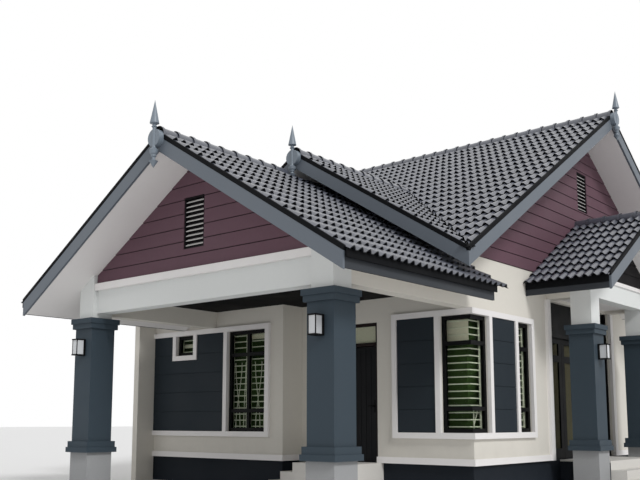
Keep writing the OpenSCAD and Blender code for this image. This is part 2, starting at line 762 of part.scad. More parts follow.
// glazed leaf in the Y-Z plane between y0 and y1, outer face on x1
module leaf(y0, y1, x1, z0, z1) difference() {
    box([x1 - leaf_t, y0, z0], [x1, y1, z1]);
    for (z = [[z0 + 1.6 * stile_w, F + mid_rail_z],
        [F + mid_rail_z + mid_rail_h, z1 - 0.8 * stile_w]])
        box([-tall, y0 + stile_w, z[0]], [tall, y1 - stile_w, z[1]]);
}
module leaf_glass(y0, y1, x1, z0, z1)
    for (z = [[z0 + 1.6 * stile_w, F + mid_rail_z],
        [F + mid_rail_z + mid_rail_h, z1 - 0.8 * stile_w]])
        box([x1 - leaf_t / 2 - glass_t / 2, y0 + stile_w, z[0]],
            [x1 - leaf_t / 2 + glass_t / 2, y1 - stile_w, z[1]]);
leaf_x = leaf_t - wall_t;
mid_gap = 0.8 * leaf_gap;
lz0 = F + leaf_gap;
lz1 = F + leaf_top - leaf_gap;
module side_door_frame() color([0.07, 0.07, 0.08]) site() {
    y0 = side_door_y;
    y1 = y0 + side_door_w;
    difference() {
        box([-wall_t, y0, F], [-50, y1, F + side_beam_z]);
        box([-tall, y0 + jamb_w, 0], [tall, y1 - jamb_w, F + leaf_top]);
        box([-100, y0 + jamb_w, F + side_door_h], [1, y1 - jamb_w, tall]);
    }
    leaf(y0 + jamb_w, y_f - leaf_gap, leaf_x, F, F + leaf_top);
    leaf(y_b + leaf_gap, y1 - jamb_w, leaf_x, F, F + leaf_top);
    translate([-wall_t - pin_y, y_f - pin_x, 0]) rotate([0, 0, 90]) hinges(lz0, lz1);
    translate([-wall_t - pin_y, y_b + pin_x, 0]) mirror([0, 1, 0])
        rotate([0, 0, 90]) hinges(lz0, lz1);
}
module side_leaf_front() color([0.07, 0.07, 0.08]) site()
    leaf(y_f, y_f + leaf_w - mid_gap, leaf_x, lz0, lz1);
module side_leaf_back() color([0.07, 0.07, 0.08]) site()
    leaf(y_b - leaf_w + mid_gap, y_b, leaf_x, lz0, lz1);
module side_leaf_glass_front() color([0.3, 0.4, 0.35, 0.5]) site()
    leaf_glass(y_f, y_f + leaf_w - mid_gap, leaf_x, lz0, lz1);
module side_leaf_glass_back() color([0.3, 0.4, 0.35, 0.5]) site()
    leaf_glass(y_b - leaf_w + mid_gap, y_b, leaf_x, lz0, lz1);

module steps() color([0.8, 0.79, 0.77]) site() {
    x0 = x_ret - plinth_back;
    r = F / 3;
    for (i = [0 : 2])
        box([x0 + i * tread, -landing_d, 0],
            [-landing_x, plinth_back, (i + 1) * r]);
    y0 = sc_f[1] + pedestal_w / 2;
    y1 = sc_b[1] - pedestal_w / 2;
    for (i = [0 : 2])
        box([-plinth_back, y0, 0], [side_landing + (2 - i) * tread, y1, (i + 1) * r]);
}

// boxed lamp hung on the face y = 0
module lamp() {
    w = lamp_w;
    d = lamp_out;
    box([-w / 2, -25, 0], [w / 2, 0, lamp_h]);
    box([12 - w / 2, -d, 22], [w / 2 - 12, -25, lamp_h - 22]);
    for (z = [0, lamp_h - 22]) box([-w / 2, -d - 12, z], [w / 2, -25, z + 22]);
}
module wall_lamps() color([0.8, 0.8, 0.82]) site() {
    z = F + lamp_top - lamp_h;
    translate([col_r[0], col_r[1] - shaft_w / 2, z]) lamp();
    translate([col_l[0], col_l[1] - shaft_w / 2, z]) lamp();
    translate([sc_f[0] + shaft_w / 2, sc_f[1], z]) rotate([0, 0, 90]) lamp();
}

plinth();
base_ledge();
front_wall_left();
entry_return_wall();
front_wall_right();
front_gable_wall();
side_wall_front();
side_wall_back();
side_wall_head();
back_wall();
party_wall();
pedestals();
column_right();
column_left();
side_column_front();
side_column_back();
porch_front_beam();
porch_side_beams();
side_porch_beam();
side_porch_arms();
porch_ceiling();
side_porch_ceiling();
porch_roof();
cross_roof();
main_roof();
side_roof();
soffits();
porch_barge();
cross_barge();
main_barge();
side_barge();
fascias();
porch_gable();
main_gable();
side_gable();
gable_vents();
finials();
surrounds();
window_frames();
window_glass();
wall_panels();
entry_frame();
entry_door();
side_door_frame();
side_leaf_front();
side_leaf_back();
side_leaf_glass_front();
side_leaf_glass_back();
steps();
wall_lamps();
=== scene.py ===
"""Dresses the bungalow: roof tiles, ridge caps, boards, window bars, lamps,
door details, finishes, floor, light and camera."""
import math

import bmesh
import bpy
import numpy as np
from bpy.props import FloatProperty, FloatVectorProperty, IntProperty, PointerProperty
from mathutils import Matrix, Vector


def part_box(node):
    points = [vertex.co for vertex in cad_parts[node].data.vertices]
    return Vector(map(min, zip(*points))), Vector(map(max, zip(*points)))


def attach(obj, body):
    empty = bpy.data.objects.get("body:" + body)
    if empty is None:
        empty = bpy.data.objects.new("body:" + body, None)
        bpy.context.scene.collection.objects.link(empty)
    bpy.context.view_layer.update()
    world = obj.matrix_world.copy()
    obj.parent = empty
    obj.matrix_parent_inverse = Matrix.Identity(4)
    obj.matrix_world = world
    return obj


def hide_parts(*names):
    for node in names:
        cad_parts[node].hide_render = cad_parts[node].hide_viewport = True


bl_info = {
    "name": "Bungalow dressing",
    "version": (1, 0, 0),
    "blender": (4, 5, 0),
    "location": "3D View > Sidebar > Bungalow",
    "description": "Adds tiles, boards, bars, lamps and finishes to the bungalow",
    "category": "Object",
}

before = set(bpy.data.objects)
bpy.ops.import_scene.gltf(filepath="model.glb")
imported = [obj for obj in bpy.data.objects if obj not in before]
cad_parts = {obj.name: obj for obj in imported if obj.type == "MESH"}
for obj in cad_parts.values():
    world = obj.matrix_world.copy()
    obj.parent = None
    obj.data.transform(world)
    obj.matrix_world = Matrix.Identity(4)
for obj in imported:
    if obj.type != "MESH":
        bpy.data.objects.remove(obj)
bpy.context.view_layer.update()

# Places on the building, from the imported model, in metres.
CORNER = Vector((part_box("side_wall_front")[1].x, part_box("side_wall_front")[0].y, 0))
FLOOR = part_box("plinth")[1].z
PITCH = math.radians(32)
SLOPE, COS = math.tan(PITCH), math.cos(PITCH)
# how far the barge boards and fascias stand outside the roof decks
EDGE = 0.04
# the window band, above the floor
SILL, HEAD = 0.54, 2.53


def at(x, y, z):
    """A point given from the front right corner of the walls and the floor."""
    return Vector((CORNER.x + x, CORNER.y + y, FLOOR + z))


# Modelling steps shared by the pieces


def choose(*obs):
    """Makes these the only selected objects, the last one active."""
    if bpy.context.object and bpy.context.object.mode != "OBJECT":
        bpy.ops.object.mode_set(mode="OBJECT")
    bpy.ops.object.select_all(action="DESELECT")
    for ob in obs:
        ob.select_set(True)
    bpy.context.view_layer.objects.active = obs[-1]


def pick(ob, kind, test):
    """Opens edit mode with only the verts, edges or faces that pass the test."""
    choose(ob)
    bpy.ops.object.mode_set(mode="EDIT")
    bpy.ops.mesh.select_mode(type=kind)
    bpy.ops.mesh.select_all(action="DESELECT")
    bm = bmesh.from_edit_mesh(ob.data)
    for item in {"VERT": bm.verts, "EDGE": bm.edges, "FACE": bm.faces}[kind]:
        item.select_set(bool(test(item)))
    bm.select_flush_mode()
    bmesh.update_edit_mesh(ob.data)


def done():
    bpy.ops.object.mode_set(mode="OBJECT")


def shift(ob, value, test=lambda v: True):
    """Moves the vertices that pass the test."""
    pick(ob, "VERT", test)
    bpy.ops.transform.translate(value=value)
    done()


def apply_all(ob):
    choose(ob)
    for mod in list(ob.modifiers):
        bpy.ops.object.modifier_apply(modifier=mod.name)


def set_down(ob):
    """Applies a piece's place, turn and size, so that its object sits at the origin."""
    choose(ob)
    bpy.ops.object.transform_apply(location=True, rotation=True, scale=True)


def stand(ob, spot, turn):
    """Sets a piece made at the origin upright at a spot, turned about Z."""
    ob.matrix_world = Matrix.Translation(spot) @ Matrix.Rotation(turn, 4, "Z")
    set_down(ob)


def repeat(ob, count, step, weld=False):
    """Repeats a piece in a straight row."""
    mod = ob.modifiers.new("row", "ARRAY")
    mod.count = count
    mod.use_relative_offset = False
    mod.use_constant_offset = True
    mod.constant_offset_displace = step
    mod.use_merge_vertices = weld
    mod.merge_threshold = 0.0004
    apply_all(ob)


def thicken(ob, thickness, offset=-1.0):
    """Gives a sheet its thickness, below its face unless the offset is 1."""
    mod = ob.modifiers.new("thickness", "SOLIDIFY")
    mod.thickness = thickness
    mod.offset = offset
    apply_all(ob)


def cut(ob, point, normal):
    """Cuts away what lies on the side of the plane that the normal points to."""
    pick(ob, "FACE", lambda f: True)
    bpy.ops.mesh.bisect(plane_co=point, plane_no=normal, use_fill=True,
                        clear_outer=True, threshold=0.00005)
    done()


def hole(ob, low, high):
    """Takes a square hole through a piece."""
    choose(ob)
    bpy.ops.mesh.primitive_cube_add(size=1, location=(low + high) / 2)
    tool = bpy.context.object
    tool.scale = high - low
    set_down(tool)
    mod = ob.modifiers.new("hole", "BOOLEAN")
    mod.operation = "DIFFERENCE"
    mod.solver = "EXACT"
    mod.use_self = True
    mod.object = tool
    apply_all(ob)
    bpy.data.objects.remove(tool)


def bar(name, low, high, bevel):
    """A straight bar between two corners, with its edges eased."""
    low, high = Vector(low), Vector(high)
    bpy.ops.object.select_all(action="DESELECT")
    bpy.ops.mesh.primitive_cube_add(size=1, location=(low + high) / 2)
    ob = bpy.context.object
    ob.name = ob.data.name = name
    ob.scale = high - low
    set_down(ob)
    pick(ob, "EDGE", lambda e: True)
    bpy.ops.mesh.bevel(offset=bevel, segments=1, affect="EDGES")
    done()
    return ob


def merge(name, obs):
    """Joins like pieces into one object."""
    choose(*obs)
    if len(obs) > 1:
        bpy.ops.object.join()
    ob = bpy.context.object
    ob.name = ob.data.name = name
    return ob


def place(ob, origin, along, up):
    """Turns a piece made flat on X and Y onto a plane of the building."""
    along, up = along.normalized(), up.normalized()
    out = along.cross(up)
    turn = Matrix((along, up, out)).transposed().to_4x4()
    ob.matrix_world = Matrix.Translation(origin) @ turn
    set_down(ob)


def copy_of(ob, name):
    """A copy with a mesh of its own."""
    choose(ob)
    bpy.ops.object.duplicate(linked=False)
    new = bpy.context.object
    new.name = new.data.name = name
    return new


def smooth(ob, degrees):
    choose(ob)
    bpy.ops.object.shade_smooth_by_angle(angle=math.radians(degrees))


def finish_piece(ob, material, body="house", smooth_at=None):
    """Gives a piece its finish and the body it moves with."""
    if smooth_at:
        smooth(ob, smooth_at)
    ob.data.materials.clear()
    ob.data.materials.append(material)
    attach(ob, body)
    return ob


# Finishes


def linear(colour):
    """A colour as shaders want it, from one as screens show it."""
    return tuple(((c + 0.055) / 1.055) ** 2.4 if c > 0.04045 else c / 12.92
                 for c in colour) + (1.0,)


GREY = (0.5, 0.5, 0.5, 1)


def node_group(name, inputs, outputs):
    """A shader node group with these sockets, and its two end nodes."""
    group = bpy.data.node_groups.new(name, "ShaderNodeTree")
    for label, kind, default in inputs:
        socket = group.interface.new_socket(name=label, in_out="INPUT", socket_type=kind)
        socket.default_value = default
    for label, kind in outputs:
        group.interface.new_socket(name=label, in_out="OUTPUT", socket_type=kind)
    return group, group.nodes.new("NodeGroupInput"), group.nodes.new("NodeGroupOutput")


def feed(tree, socket, value):
    """Sets a socket to a number, or links it to another node's output."""
    if isinstance(value, bpy.types.NodeSocket):
        tree.links.new(value, socket)
    else:
        socket.default_value = value


def math_node(tree, operation, *values):
    node = tree.nodes.new("ShaderNodeMath")
    node.operation = operation
    for socket, value in zip(node.inputs, values):
        feed(tree, socket, value)
    return node.outputs[0]


def map_range(tree, value, source, target):
    """Carries a value over from one range to another."""
    node = tree.nodes.new("ShaderNodeMapRange")
    names = ("Value", "From Min", "From Max", "To Min", "To Max")
    for name, number in zip(names, (value, *source, *target)):
        feed(tree, node.inputs[name], number)
    return node.outputs[0]


def scaled(tree, colour, factor):
    """A colour made lighter or darker by a factor."""
    node = tree.nodes.new("ShaderNodeVectorMath")
    node.operation = "SCALE"
    feed(tree, node.inputs[0], colour)
    feed(tree, node.inputs["Scale"], factor)
    return node.outputs[0]


def noise(tree, vector, scale, detail):
    node = tree.nodes.new("ShaderNodeTexNoise")
    for name, value in (("Vector", vector), ("Scale", scale), ("Detail", detail)):
        feed(tree, node.inputs[name], value)
    return node.outputs["Fac"]


def object_coords(tree):
    return tree.nodes.new("ShaderNodeTexCoord").outputs["Object"]


def drift_group():
    """Slow and fine colour change over a painted or fired surface."""
    group, gin, gout = node_group(
        "colour_drift",
        [("Colour", "NodeSocketColor", GREY), ("Scale", "NodeSocketFloat", 1.0),
         ("Amount", "NodeSocketFloat", 0.1), ("Fine scale", "NodeSocketFloat", 40.0),
         ("Fine amount", "NodeSocketFloat", 0.05)],
        [("Colour", "NodeSocketColor"), ("Mask", "NodeSocketFloat")])
    coords = object_coords(group)
    slow = noise(group, coords, gin.outputs["Scale"], 4)
    fine = noise(group, coords, gin.outputs["Fine scale"], 3)
    total = 1.0
    for mask, amount in ((slow, "Amount"), (fine, "Fine amount")):
        off = math_node(group, "SUBTRACT", mask, 0.5)
        total = math_node(group, "MULTIPLY_ADD", off, gin.outputs[amount], total)
    feed(group, gout.inputs["Colour"], scaled(group, gin.outputs["Colour"], total))
    feed(group, gout.inputs["Mask"], slow)
    return group


def height_group():
    """Fine relief: a noise that can be drawn out along one direction."""
    group, gin, gout = node_group(
        "fine_relief",
        [("Stretch", "NodeSocketVector", (1, 1, 1)), ("Scale", "NodeSocketFloat", 60.0),
         ("Detail", "NodeSocketFloat", 4.0)],
        [("Height", "NodeSocketFloat")])
    drawn = group.nodes.new("ShaderNodeVectorMath")
    drawn.operation = "MULTIPLY"
    feed(group, drawn.inputs[0], object_coords(group))
    feed(group, drawn.inputs[1], gin.outputs["Stretch"])
    height = noise(group, drawn.outputs[0], gin.outputs["Scale"], gin.outputs["Detail"])
    feed(group, gout.inputs["Height"], height)
    return group


def splash_group():
    """Dirt that gathers low down on a wall and fades upwards."""
    group, gin, gout = node_group(
        "low_dirt",
        [("Colour", "NodeSocketColor", GREY), ("Low", "NodeSocketFloat", 0.5),
         ("High", "NodeSocketFloat", 1.2), ("Amount", "NodeSocketFloat", 0.25)],
        [("Colour", "NodeSocketColor")])
    coords = object_coords(group)
    split = group.nodes.new("ShaderNodeSeparateXYZ")
    feed(group, split.inputs[0], coords)
    fade = map_range(group, split.outputs["Z"],
                     (gin.outputs["Low"], gin.outputs["High"]), (1.0, 0.0))
    patches = math_node(group, "MULTIPLY", fade, noise(group, coords, 3.0, 6))
    loss = math_node(group, "MULTIPLY", patches, gin.outputs["Amount"])
    keep = math_node(group, "SUBTRACT", 1.0, loss)
    feed(group, gout.inputs["Colour"], scaled(group, gin.outputs["Colour"], keep))
    return group


def make_room_shade():
    """Painted shade: a deep colour on the faces of the walls that look into the rooms, for
    the dark inside them.
    """
    group, gin, gout = node_group(
        "painted_room_shade",
        [("Colour", "NodeSocketColor", GREY), ("Keep", "NodeSocketFloat", 0.1)],
        [("Colour", "NodeSocketColor")])
    split = group.nodes.new("ShaderNodeSeparateXYZ")
    feed(group, split.inputs[0], object_coords(group))

    def test(axis, operation, value):
        return math_node(group, operation, split.outputs[axis], value)

    # just inside the walls' inner faces, with the bay of the left front room
    bay = math_node(group, "MULTIPLY", test("X", "LESS_THAN", CORNER.x - 3.926),
                    test("Y", "GREATER_THAN", CORNER.y - 0.401))
    front = math_node(group, "MAXIMUM", test("Y", "GREATER_THAN", CORNER.y + 0.149), bay)
    wide = math_node(group, "MULTIPLY", test("X", "LESS_THAN", CORNER.x - 0.149),
                     test("X", "GREATER_THAN", CORNER.x - 7.56))
    inside = math_node(group, "MULTIPLY", math_node(group, "MULTIPLY", front, wide),
                       test("Y", "LESS_THAN", CORNER.y + 10.06))
    keep = map_range(group, inside, (0.0, 1.0), (1.0, gin.outputs["Keep"]))
    feed(group, gout.inputs["Colour"], scaled(group, gin.outputs["Colour"], keep))
    return group


GROUP_MAKERS = {"colour_drift": drift_group, "fine_relief": height_group,
                "low_dirt": splash_group, "painted_room_shade": make_room_shade}
GROUPS = {}


def group_node(tree, name, **values):
    """A node of the named group, made on first use, with its inputs set or linked."""
    if name not in GROUPS:
        GROUPS[name] = GROUP_MAKERS[name]()
    node = tree.nodes.new("ShaderNodeGroup")
    node.node_tree = GROUPS[name]
    for key, value in values.items():
        feed(tree, node.inputs[key.replace("_", " ")], value)
    return node


def make_finish(name, colour, rough=0.5, drift=(0.8, 0.12), fine=(45.0, 0.06),
                relief=(1, 1, 1), relief_scale=60.0, relief_depth=0.001,
                relief_strength=0.3, coat=0.0, metallic=0.0, specular=0.5,
                dirt=None, tone=False, shade_inside=False, clear=False):
    """A painted, fired or cast surface with colour change, relief and sheen."""
    mat = bpy.data.materials.new(name)
    mat.use_nodes = True
    tree = mat.node_tree
    shader = tree.nodes["Principled BSDF"]
    shader.inputs["Metallic"].default_value = metallic
    shader.inputs["Specular IOR Level"].default_value = specular
    shader.inputs["Coat Weight"].default_value = coat
    shader.inputs["Coat Roughness"].default_value = 0.15
    mat.diffuse_color = linear(colour)
    tint = group_node(tree, "colour_drift", Colour=linear(colour), Scale=drift[0],
                      Amount=drift[1], Fine_scale=fine[0], Fine_amount=fine[1])
    out = tint.outputs["Colour"]
    if tone:
        # each tile has its own tone, and its bare ends and underside a low one, painted
        # shade for the dark mouths under the rolls
        attr = tree.nodes.new("ShaderNodeAttribute")
        attr.attribute_name = "tone"
        out = scaled(tree, out, attr.outputs["Fac"])
        glazed = math_node(tree, "GREATER_THAN", attr.outputs["Fac"], 0.5)
        feed(tree, shader.inputs["Coat Weight"], glazed)
        shader.inputs["Coat IOR"].default_value = 1.8
        shader.inputs["Coat Roughness"].default_value = 0.32
    # painted shade: the inner faces of the walls are darkened, for the dark rooms
    if shade_inside:
        out = group_node(tree, "painted_room_shade", Colour=out).outputs["Colour"]
    if dirt:
        low, high, amount = dirt
        out = group_node(tree, "low_dirt", Colour=out, Low=low, High=high,
                         Amount=amount).outputs["Colour"]
    feed(tree, shader.inputs["Base Color"], out)
    spread = (max(0.05, rough * 0.85), min(1.0, rough * 1.15))
    feed(tree, shader.inputs["Roughness"],
         map_range(tree, tint.outputs["Mask"], (0.3, 0.7), spread))
    height = group_node(tree, "fine_relief", Stretch=relief, Scale=relief_scale)
    bump = tree.nodes.new("ShaderNodeBump")
    bump.inputs["Distance"].default_value = relief_depth
    bump.inputs["Strength"].default_value = relief_strength
    feed(tree, bump.inputs["Height"], height.outputs["Height"])
    feed(tree, shader.inputs["Normal"], bump.outputs["Normal"])
    if clear:
        shader.inputs["Transmission Weight"].default_value = 1.0
        shader.inputs["Alpha"].default_value = 0.25
        # near 1: rays that Alpha lets through the front face aren't mirrored by the back
        shader.inputs["IOR"].default_value = 1.04
    return mat


def face_values(ob, kind):
    """Normal or centre of every face, one row each."""
    values = np.zeros(len(ob.data.polygons) * 3, np.float32)
    ob.data.polygons.foreach_get(kind, values)
    return values.reshape(-1, 3)


def tone_and_shade_of(ob, cells, seed, spread):
    """Gives each tile a tone, and its ends and underside a low one as painted shade."""
    normal = face_values(ob, "normal")
    shade = np.random.default_rng(seed).random((400, 400))
    tone = 1 - spread + 2 * spread * shade[cells[0] % 400, cells[1] % 400]
    # painted shade: the ends that face down the slope and the undersides are darkened
    tone[(normal[:, 1] < -0.6) | (normal[:, 2] < -0.2)] = 0.15
    ob.data.attributes.new("tone", "FLOAT", "FACE").data.foreach_set(
        "value", tone.astype(np.float32))


# Ways that the finishes share
GLAZE = {"relief_scale": 60, "relief_depth": 0.0012, "relief_strength": 0.2,
         "specular": 0.25, "tone": True}
TIMBER = {"relief": (3, 3, 30), "relief_scale": 4}
TRIM_BOARD = TIMBER | {"relief_depth": 0.0008}
WIDE_BOARD = {"relief": (2, 2, 40), "relief_scale": 3, "relief_depth": 0.0015}
DOOR = {"relief": (20, 20, 1.5), "relief_scale": 4, "specular": 0.15}

# Material name, colour or the setting that holds it, roughness, scale and amount of
# the slow and of the fine colour change, and the rest
LOOKS = {
    "tile": ("roof_tile_glaze", "tile", 0.4, (0.6, 0.25), (30, 0.15), GLAZE),
    "ridge": ("ridge_tile_glaze", "tile", 0.4, (0.9, 0.25), (30, 0.12), GLAZE),
    "deck": ("roof_underlay", (0.07, 0.075, 0.085), 0.8, (0.6, 0.25), (30, 0.1),
             {"specular": 0.1}),
    "lead": ("valley_metal", (0.13, 0.14, 0.155), 0.4, (1.5, 0.3), (20, 0.1),
             {"metallic": 0.6, "relief_scale": 12}),
    # near black: painted shadow under the tile edges at the verges and eaves
    "verge": ("edge_painted_shadow", (0.05, 0.055, 0.065), 0.7, (2.0, 0.3), (25, 0.12),
              TIMBER | {"specular": 0.1}),
    "beam": ("beam_paint", "beam", 0.7, (0.6, 0.05), (16, 0.03),
             {"relief_scale": 90, "relief_depth": 0.0008}),
    # darker than the barge boards: painted shadow of the tile overhang on the fascias
    "fascia": ("fascia_paint_and_painted_shadow", "fascia", 0.55, (1.0, 0.14), (25, 0.06),
               TRIM_BOARD | {"specular": 0.25}),
    "barge": ("barge_board_paint", "barge", 0.5, (1.0, 0.1), (25, 0.05), TRIM_BOARD),
    "pelmet": ("pelmet_board_paint", (0.95, 0.91, 0.85), 0.7, (2.0, 0.08), (30, 0.04),
               {"relief_depth": 0.0006}),
    # the walls' inner faces carry painted shade for the dark rooms
    "wall": ("wall_paint_finish", "wall", 0.82, (0.5, 0.05), (14, 0.04),
             {"relief_scale": 110, "relief_depth": 0.0015, "relief_strength": 0.35,
              "dirt": (0.5, 1.15, 0.2), "shade_inside": True}),
    "trim": ("white_trim_paint", "trim", 0.5, (0.7, 0.05), (20, 0.03),
             {"relief_scale": 80, "relief_depth": 0.0006}),
    "soffit": ("soffit_paint", "soffit", 0.7, (0.6, 0.06), (12, 0.03),
               {"relief_scale": 50}),
    "column": ("column_paint", "column", 0.6, (1.2, 0.1), (30, 0.06),
               {"relief_scale": 100, "specular": 0.2}),
    "stone": ("pedestal_concrete", "stone", 0.85, (2.0, 0.12), (40, 0.1),
              {"relief_scale": 45, "relief_depth": 0.002, "relief_strength": 0.4,
               "dirt": (0.0, 0.5, 0.25)}),
    # the negative amount makes the plinth lighter in patches towards the ground
    "plinth": ("plinth_paint", "plinth", 0.7, (1.0, 0.15), (30, 0.06),
               {"relief_scale": 90, "relief_depth": 0.0015, "dirt": (0.0, 0.35, -0.5),
                "specular": 0.12}),
    "plum": ("plum_board_paint", "plum", 0.6, (1.3, 0.22), (18, 0.1),
             WIDE_BOARD | {"relief_strength": 0.4, "specular": 0.2}),
    # near black: painted shade in the gable board grooves and behind the vent slats, and the
    # side gable boards' colour
    "dark_board": ("dark_board_and_groove_shade_paint", (0.075, 0.065, 0.075), 0.65, (1.3, 0.2),
                   (18, 0.08), WIDE_BOARD | {"specular": 0.12}),
    "navy": ("navy_board_paint", "navy", 0.6, (1.0, 0.14), (22, 0.06),
             WIDE_BOARD | {"relief_scale": 2.5, "relief_depth": 0.001, "specular": 0.15}),
    # near black: painted shade under the deep porch roof
    "ceiling": ("porch_ceiling_painted_shade", (0.03, 0.03, 0.034), 0.7, (1.0, 0.2), (20, 0.1),
                {"relief": (40, 2, 2), "relief_scale": 2, "specular": 0.08}),
    "black": ("black_powder_coat", (0.035, 0.037, 0.042), 0.5, (2, 0.1), (60, 0.06),
              {"relief_scale": 300, "relief_depth": 0.0004, "specular": 0.1}),
    "vent": ("vent_paint", "vent", 0.45, (2, 0.06), (40, 0.04), {}),
    "finial": ("finial_paint", "finial", 0.42, (3, 0.12), (50, 0.06),
               {"relief_scale": 70, "relief_depth": 0.0006}),
    "brown": ("door_frame_stain", (0.11, 0.07, 0.065), 0.5, (2, 0.2), (30, 0.1), DOOR),
    "door": ("door_leaf_paint", (0.05, 0.056, 0.068), 0.5, (2, 0.12), (30, 0.05), DOOR),
    "step": ("step_stone_finish", (0.80, 0.79, 0.77), 0.7, (2.5, 0.1), (60, 0.1),
             {"dirt": (0.0, 0.3, 0.15)}),
    "bars": ("window_bar_paint", "bars", 0.45, (3, 0.06), (50, 0.03), {}),
    # mottled green: painted reflection of foliage in the window glass
    "blind": ("blind_cloth_painted_reflection", (0.22, 0.29, 0.16), 0.85, (3.0, 0.7), (30, 0.15),
              {"relief": (2, 2, 30), "relief_scale": 12, "specular": 0.1}),
    "curtain": ("door_curtain_cloth", (0.36, 0.33, 0.28), 0.85, (1.5, 0.4), (30, 0.1),
                {"relief": (30, 30, 1), "relief_scale": 8, "specular": 0.1}),
    "lamp_glass": ("lamp_opal_glass", (0.80, 0.81, 0.82), 0.35, (4, 0.05), (40, 0.03),
                   {"coat": 0.3}),
    "glass": ("window_glass_tint", "glass", 0.05, (0.5, 0.08), (3, 0.02),
              {"relief_scale": 1.2, "relief_strength": 0.06, "specular": 0.2,
               "clear": True}),
}
MATERIALS = {}


def finish(name):
    """The finish of that name, made on first use."""
    if name not in MATERIALS:
        label, tint, rough, drift, fine, rest = LOOKS[name]
        if isinstance(tint, str):
            tint = getattr(bpy.context.scene.bungalow_colours, tint)
        MATERIALS[name] = make_finish(label, tint, rough, drift, fine, **rest)
    return MATERIALS[name]


NODE_FINISH = {
    "deck": ["porch_roof", "cross_roof", "main_roof", "side_roof"],
    "wall": ["front_wall_left", "entry_return_wall", "front_wall_right",
             "front_gable_wall", "side_wall_front", "side_wall_back",
             "side_wall_head", "back_wall", "party_wall", "porch_side_beams",
             "side_porch_arms"],
    "trim": ["base_ledge", "surrounds"],
    "beam": ["porch_front_beam", "side_porch_beam"],
    "soffit": ["soffits", "side_porch_ceiling"], "fascia": ["fascias"],
    "barge": ["porch_barge", "cross_barge", "main_barge", "side_barge"],
    "column": ["column_right", "column_left", "side_column_front", "side_column_back"],
    "stone": ["pedestals"], "plinth": ["plinth"],
    # the near-black backings show in the board grooves as painted shade
    "dark_board": ["porch_gable", "main_gable", "side_gable"],
    "navy": ["wall_panels"], "ceiling": ["porch_ceiling"],
    "black": ["window_frames", "side_door_frame", "side_leaf_front", "side_leaf_back",
              "wall_lamps"],
    "vent": ["gable_vents"], "finial": ["finials"], "brown": ["entry_frame"],
    "door": ["entry_door"], "step": ["steps"],
    "glass": ["window_glass", "side_leaf_glass_front", "side_leaf_glass_back"],
}


# Sizes and colours a user would change


def size(name, text, default, low, high):
    return FloatProperty(name=name, description=text, default=default, min=low,
                         max=high, unit="LENGTH")


def colour(name, text, default):
    return FloatVectorProperty(name=name, description=text, default=default, min=0,
                               max=1, size=3, subtype="COLOR_GAMMA")


class BungalowColours(bpy.types.PropertyGroup):
    """Colours of the finishes."""
    tile: colour("Tile", "Glaze of the roof tiles", (0.28, 0.295, 0.34))
    wall: colour("Wall", "Paint on the walls", (0.84, 0.825, 0.79))
    trim: colour("Trim", "Paint on the surrounds and ledges", (0.90, 0.89, 0.885))
    beam: colour("Beams", "Paint on the porch beams", (0.845, 0.855, 0.85))
    soffit: colour("Soffit", "Paint under the eaves", (0.91, 0.90, 0.895))
    barge: colour("Barge boards", "Paint on the barge boards", (0.37, 0.40, 0.435))
    # dark: painted shadow of the tile overhang on the fascias
    fascia: colour("Fascias", "Paint on the eave fascias", (0.20, 0.215, 0.235))
    column: colour("Columns", "Paint on the columns", (0.215, 0.26, 0.295))
    stone: colour("Pedestals", "Concrete of the pedestals", (0.58, 0.585, 0.59))
    plinth: colour("Plinth", "Paint on the plinth", (0.11, 0.13, 0.155))
    plum: colour("Gable boards", "Paint on the gable boards", (0.385, 0.285, 0.325))
    navy: colour("Wall boards", "Paint on the wall boards", (0.14, 0.17, 0.195))
    vent: colour("Vents", "Paint on the gable vents", (0.80, 0.79, 0.785))
    finial: colour("Finials", "Paint on the finials", (0.46, 0.50, 0.54))
    bars: colour("Window bars", "Paint on the window bars", (0.93, 0.92, 0.86))
    glass: colour("Glass", "Tint of the window glass", (0.52, 0.62, 0.50))


class BungalowSizes(bpy.types.PropertyGroup):
    """Sizes of the dressing pieces."""
    roll: size("Tile roll", "Width of one roll of a tile", 0.165, 0.12, 0.25)
    gauge: size("Tile gauge", "Length of each course that shows", 0.345, 0.25, 0.4)
    wave: size("Tile wave", "Height of the roll of a tile", 0.040, 0.02, 0.06)
    crown: size("Roll crown", "Extra height of the roll at its lower end", 0.012, 0.0,
                0.05)
    step: size("Course step", "Rise from one course to the next", 0.038, 0.015, 0.05)
    nose: size("Tile overhang", "Tile overhang past the fascia", 0.07, 0.0, 0.08)
    cap_r: size("Ridge cap radius", "Radius of the ridge caps", 0.115, 0.08, 0.14)
    cap_gauge: size("Ridge cap gauge", "Length of ridge cap that shows", 0.31, 0.25, 0.4)
    lap: size("Gable board height", "Height of each gable board that shows", 0.23,
              0.15, 0.3)
    # the groove shows the near-black backing, painted shade
    groove: size("Board groove", "Dark groove between gable boards", 0.012, 0.004, 0.03)
    bar: size("Window bar", "Thickness of the window bars", 0.019, 0.008, 0.03)
    bar_gap: size("Bar spacing", "Distance between window bars", 0.12, 0.08, 0.2)
    rows: IntProperty(name="Wall board rows", default=5, min=3, max=8,
                      description="Boards between sill and head")


# Pieces


RIDGE_AXIS = {"porch": "y", "cross": "y", "main": "x", "side": "x"}
# heights across one roll of a tile, from side to side, as shares of the wave
WAVE = (0.0, 0.45, 0.86, 1.0, 0.86, 0.45, 0.0, 0.0, 0.0)
# height of the tile bed over the roof deck
LIFT = 0.026
TILE_THICK = 0.014
COURSE_LAP = 0.045
CAP_LAP = 0.05


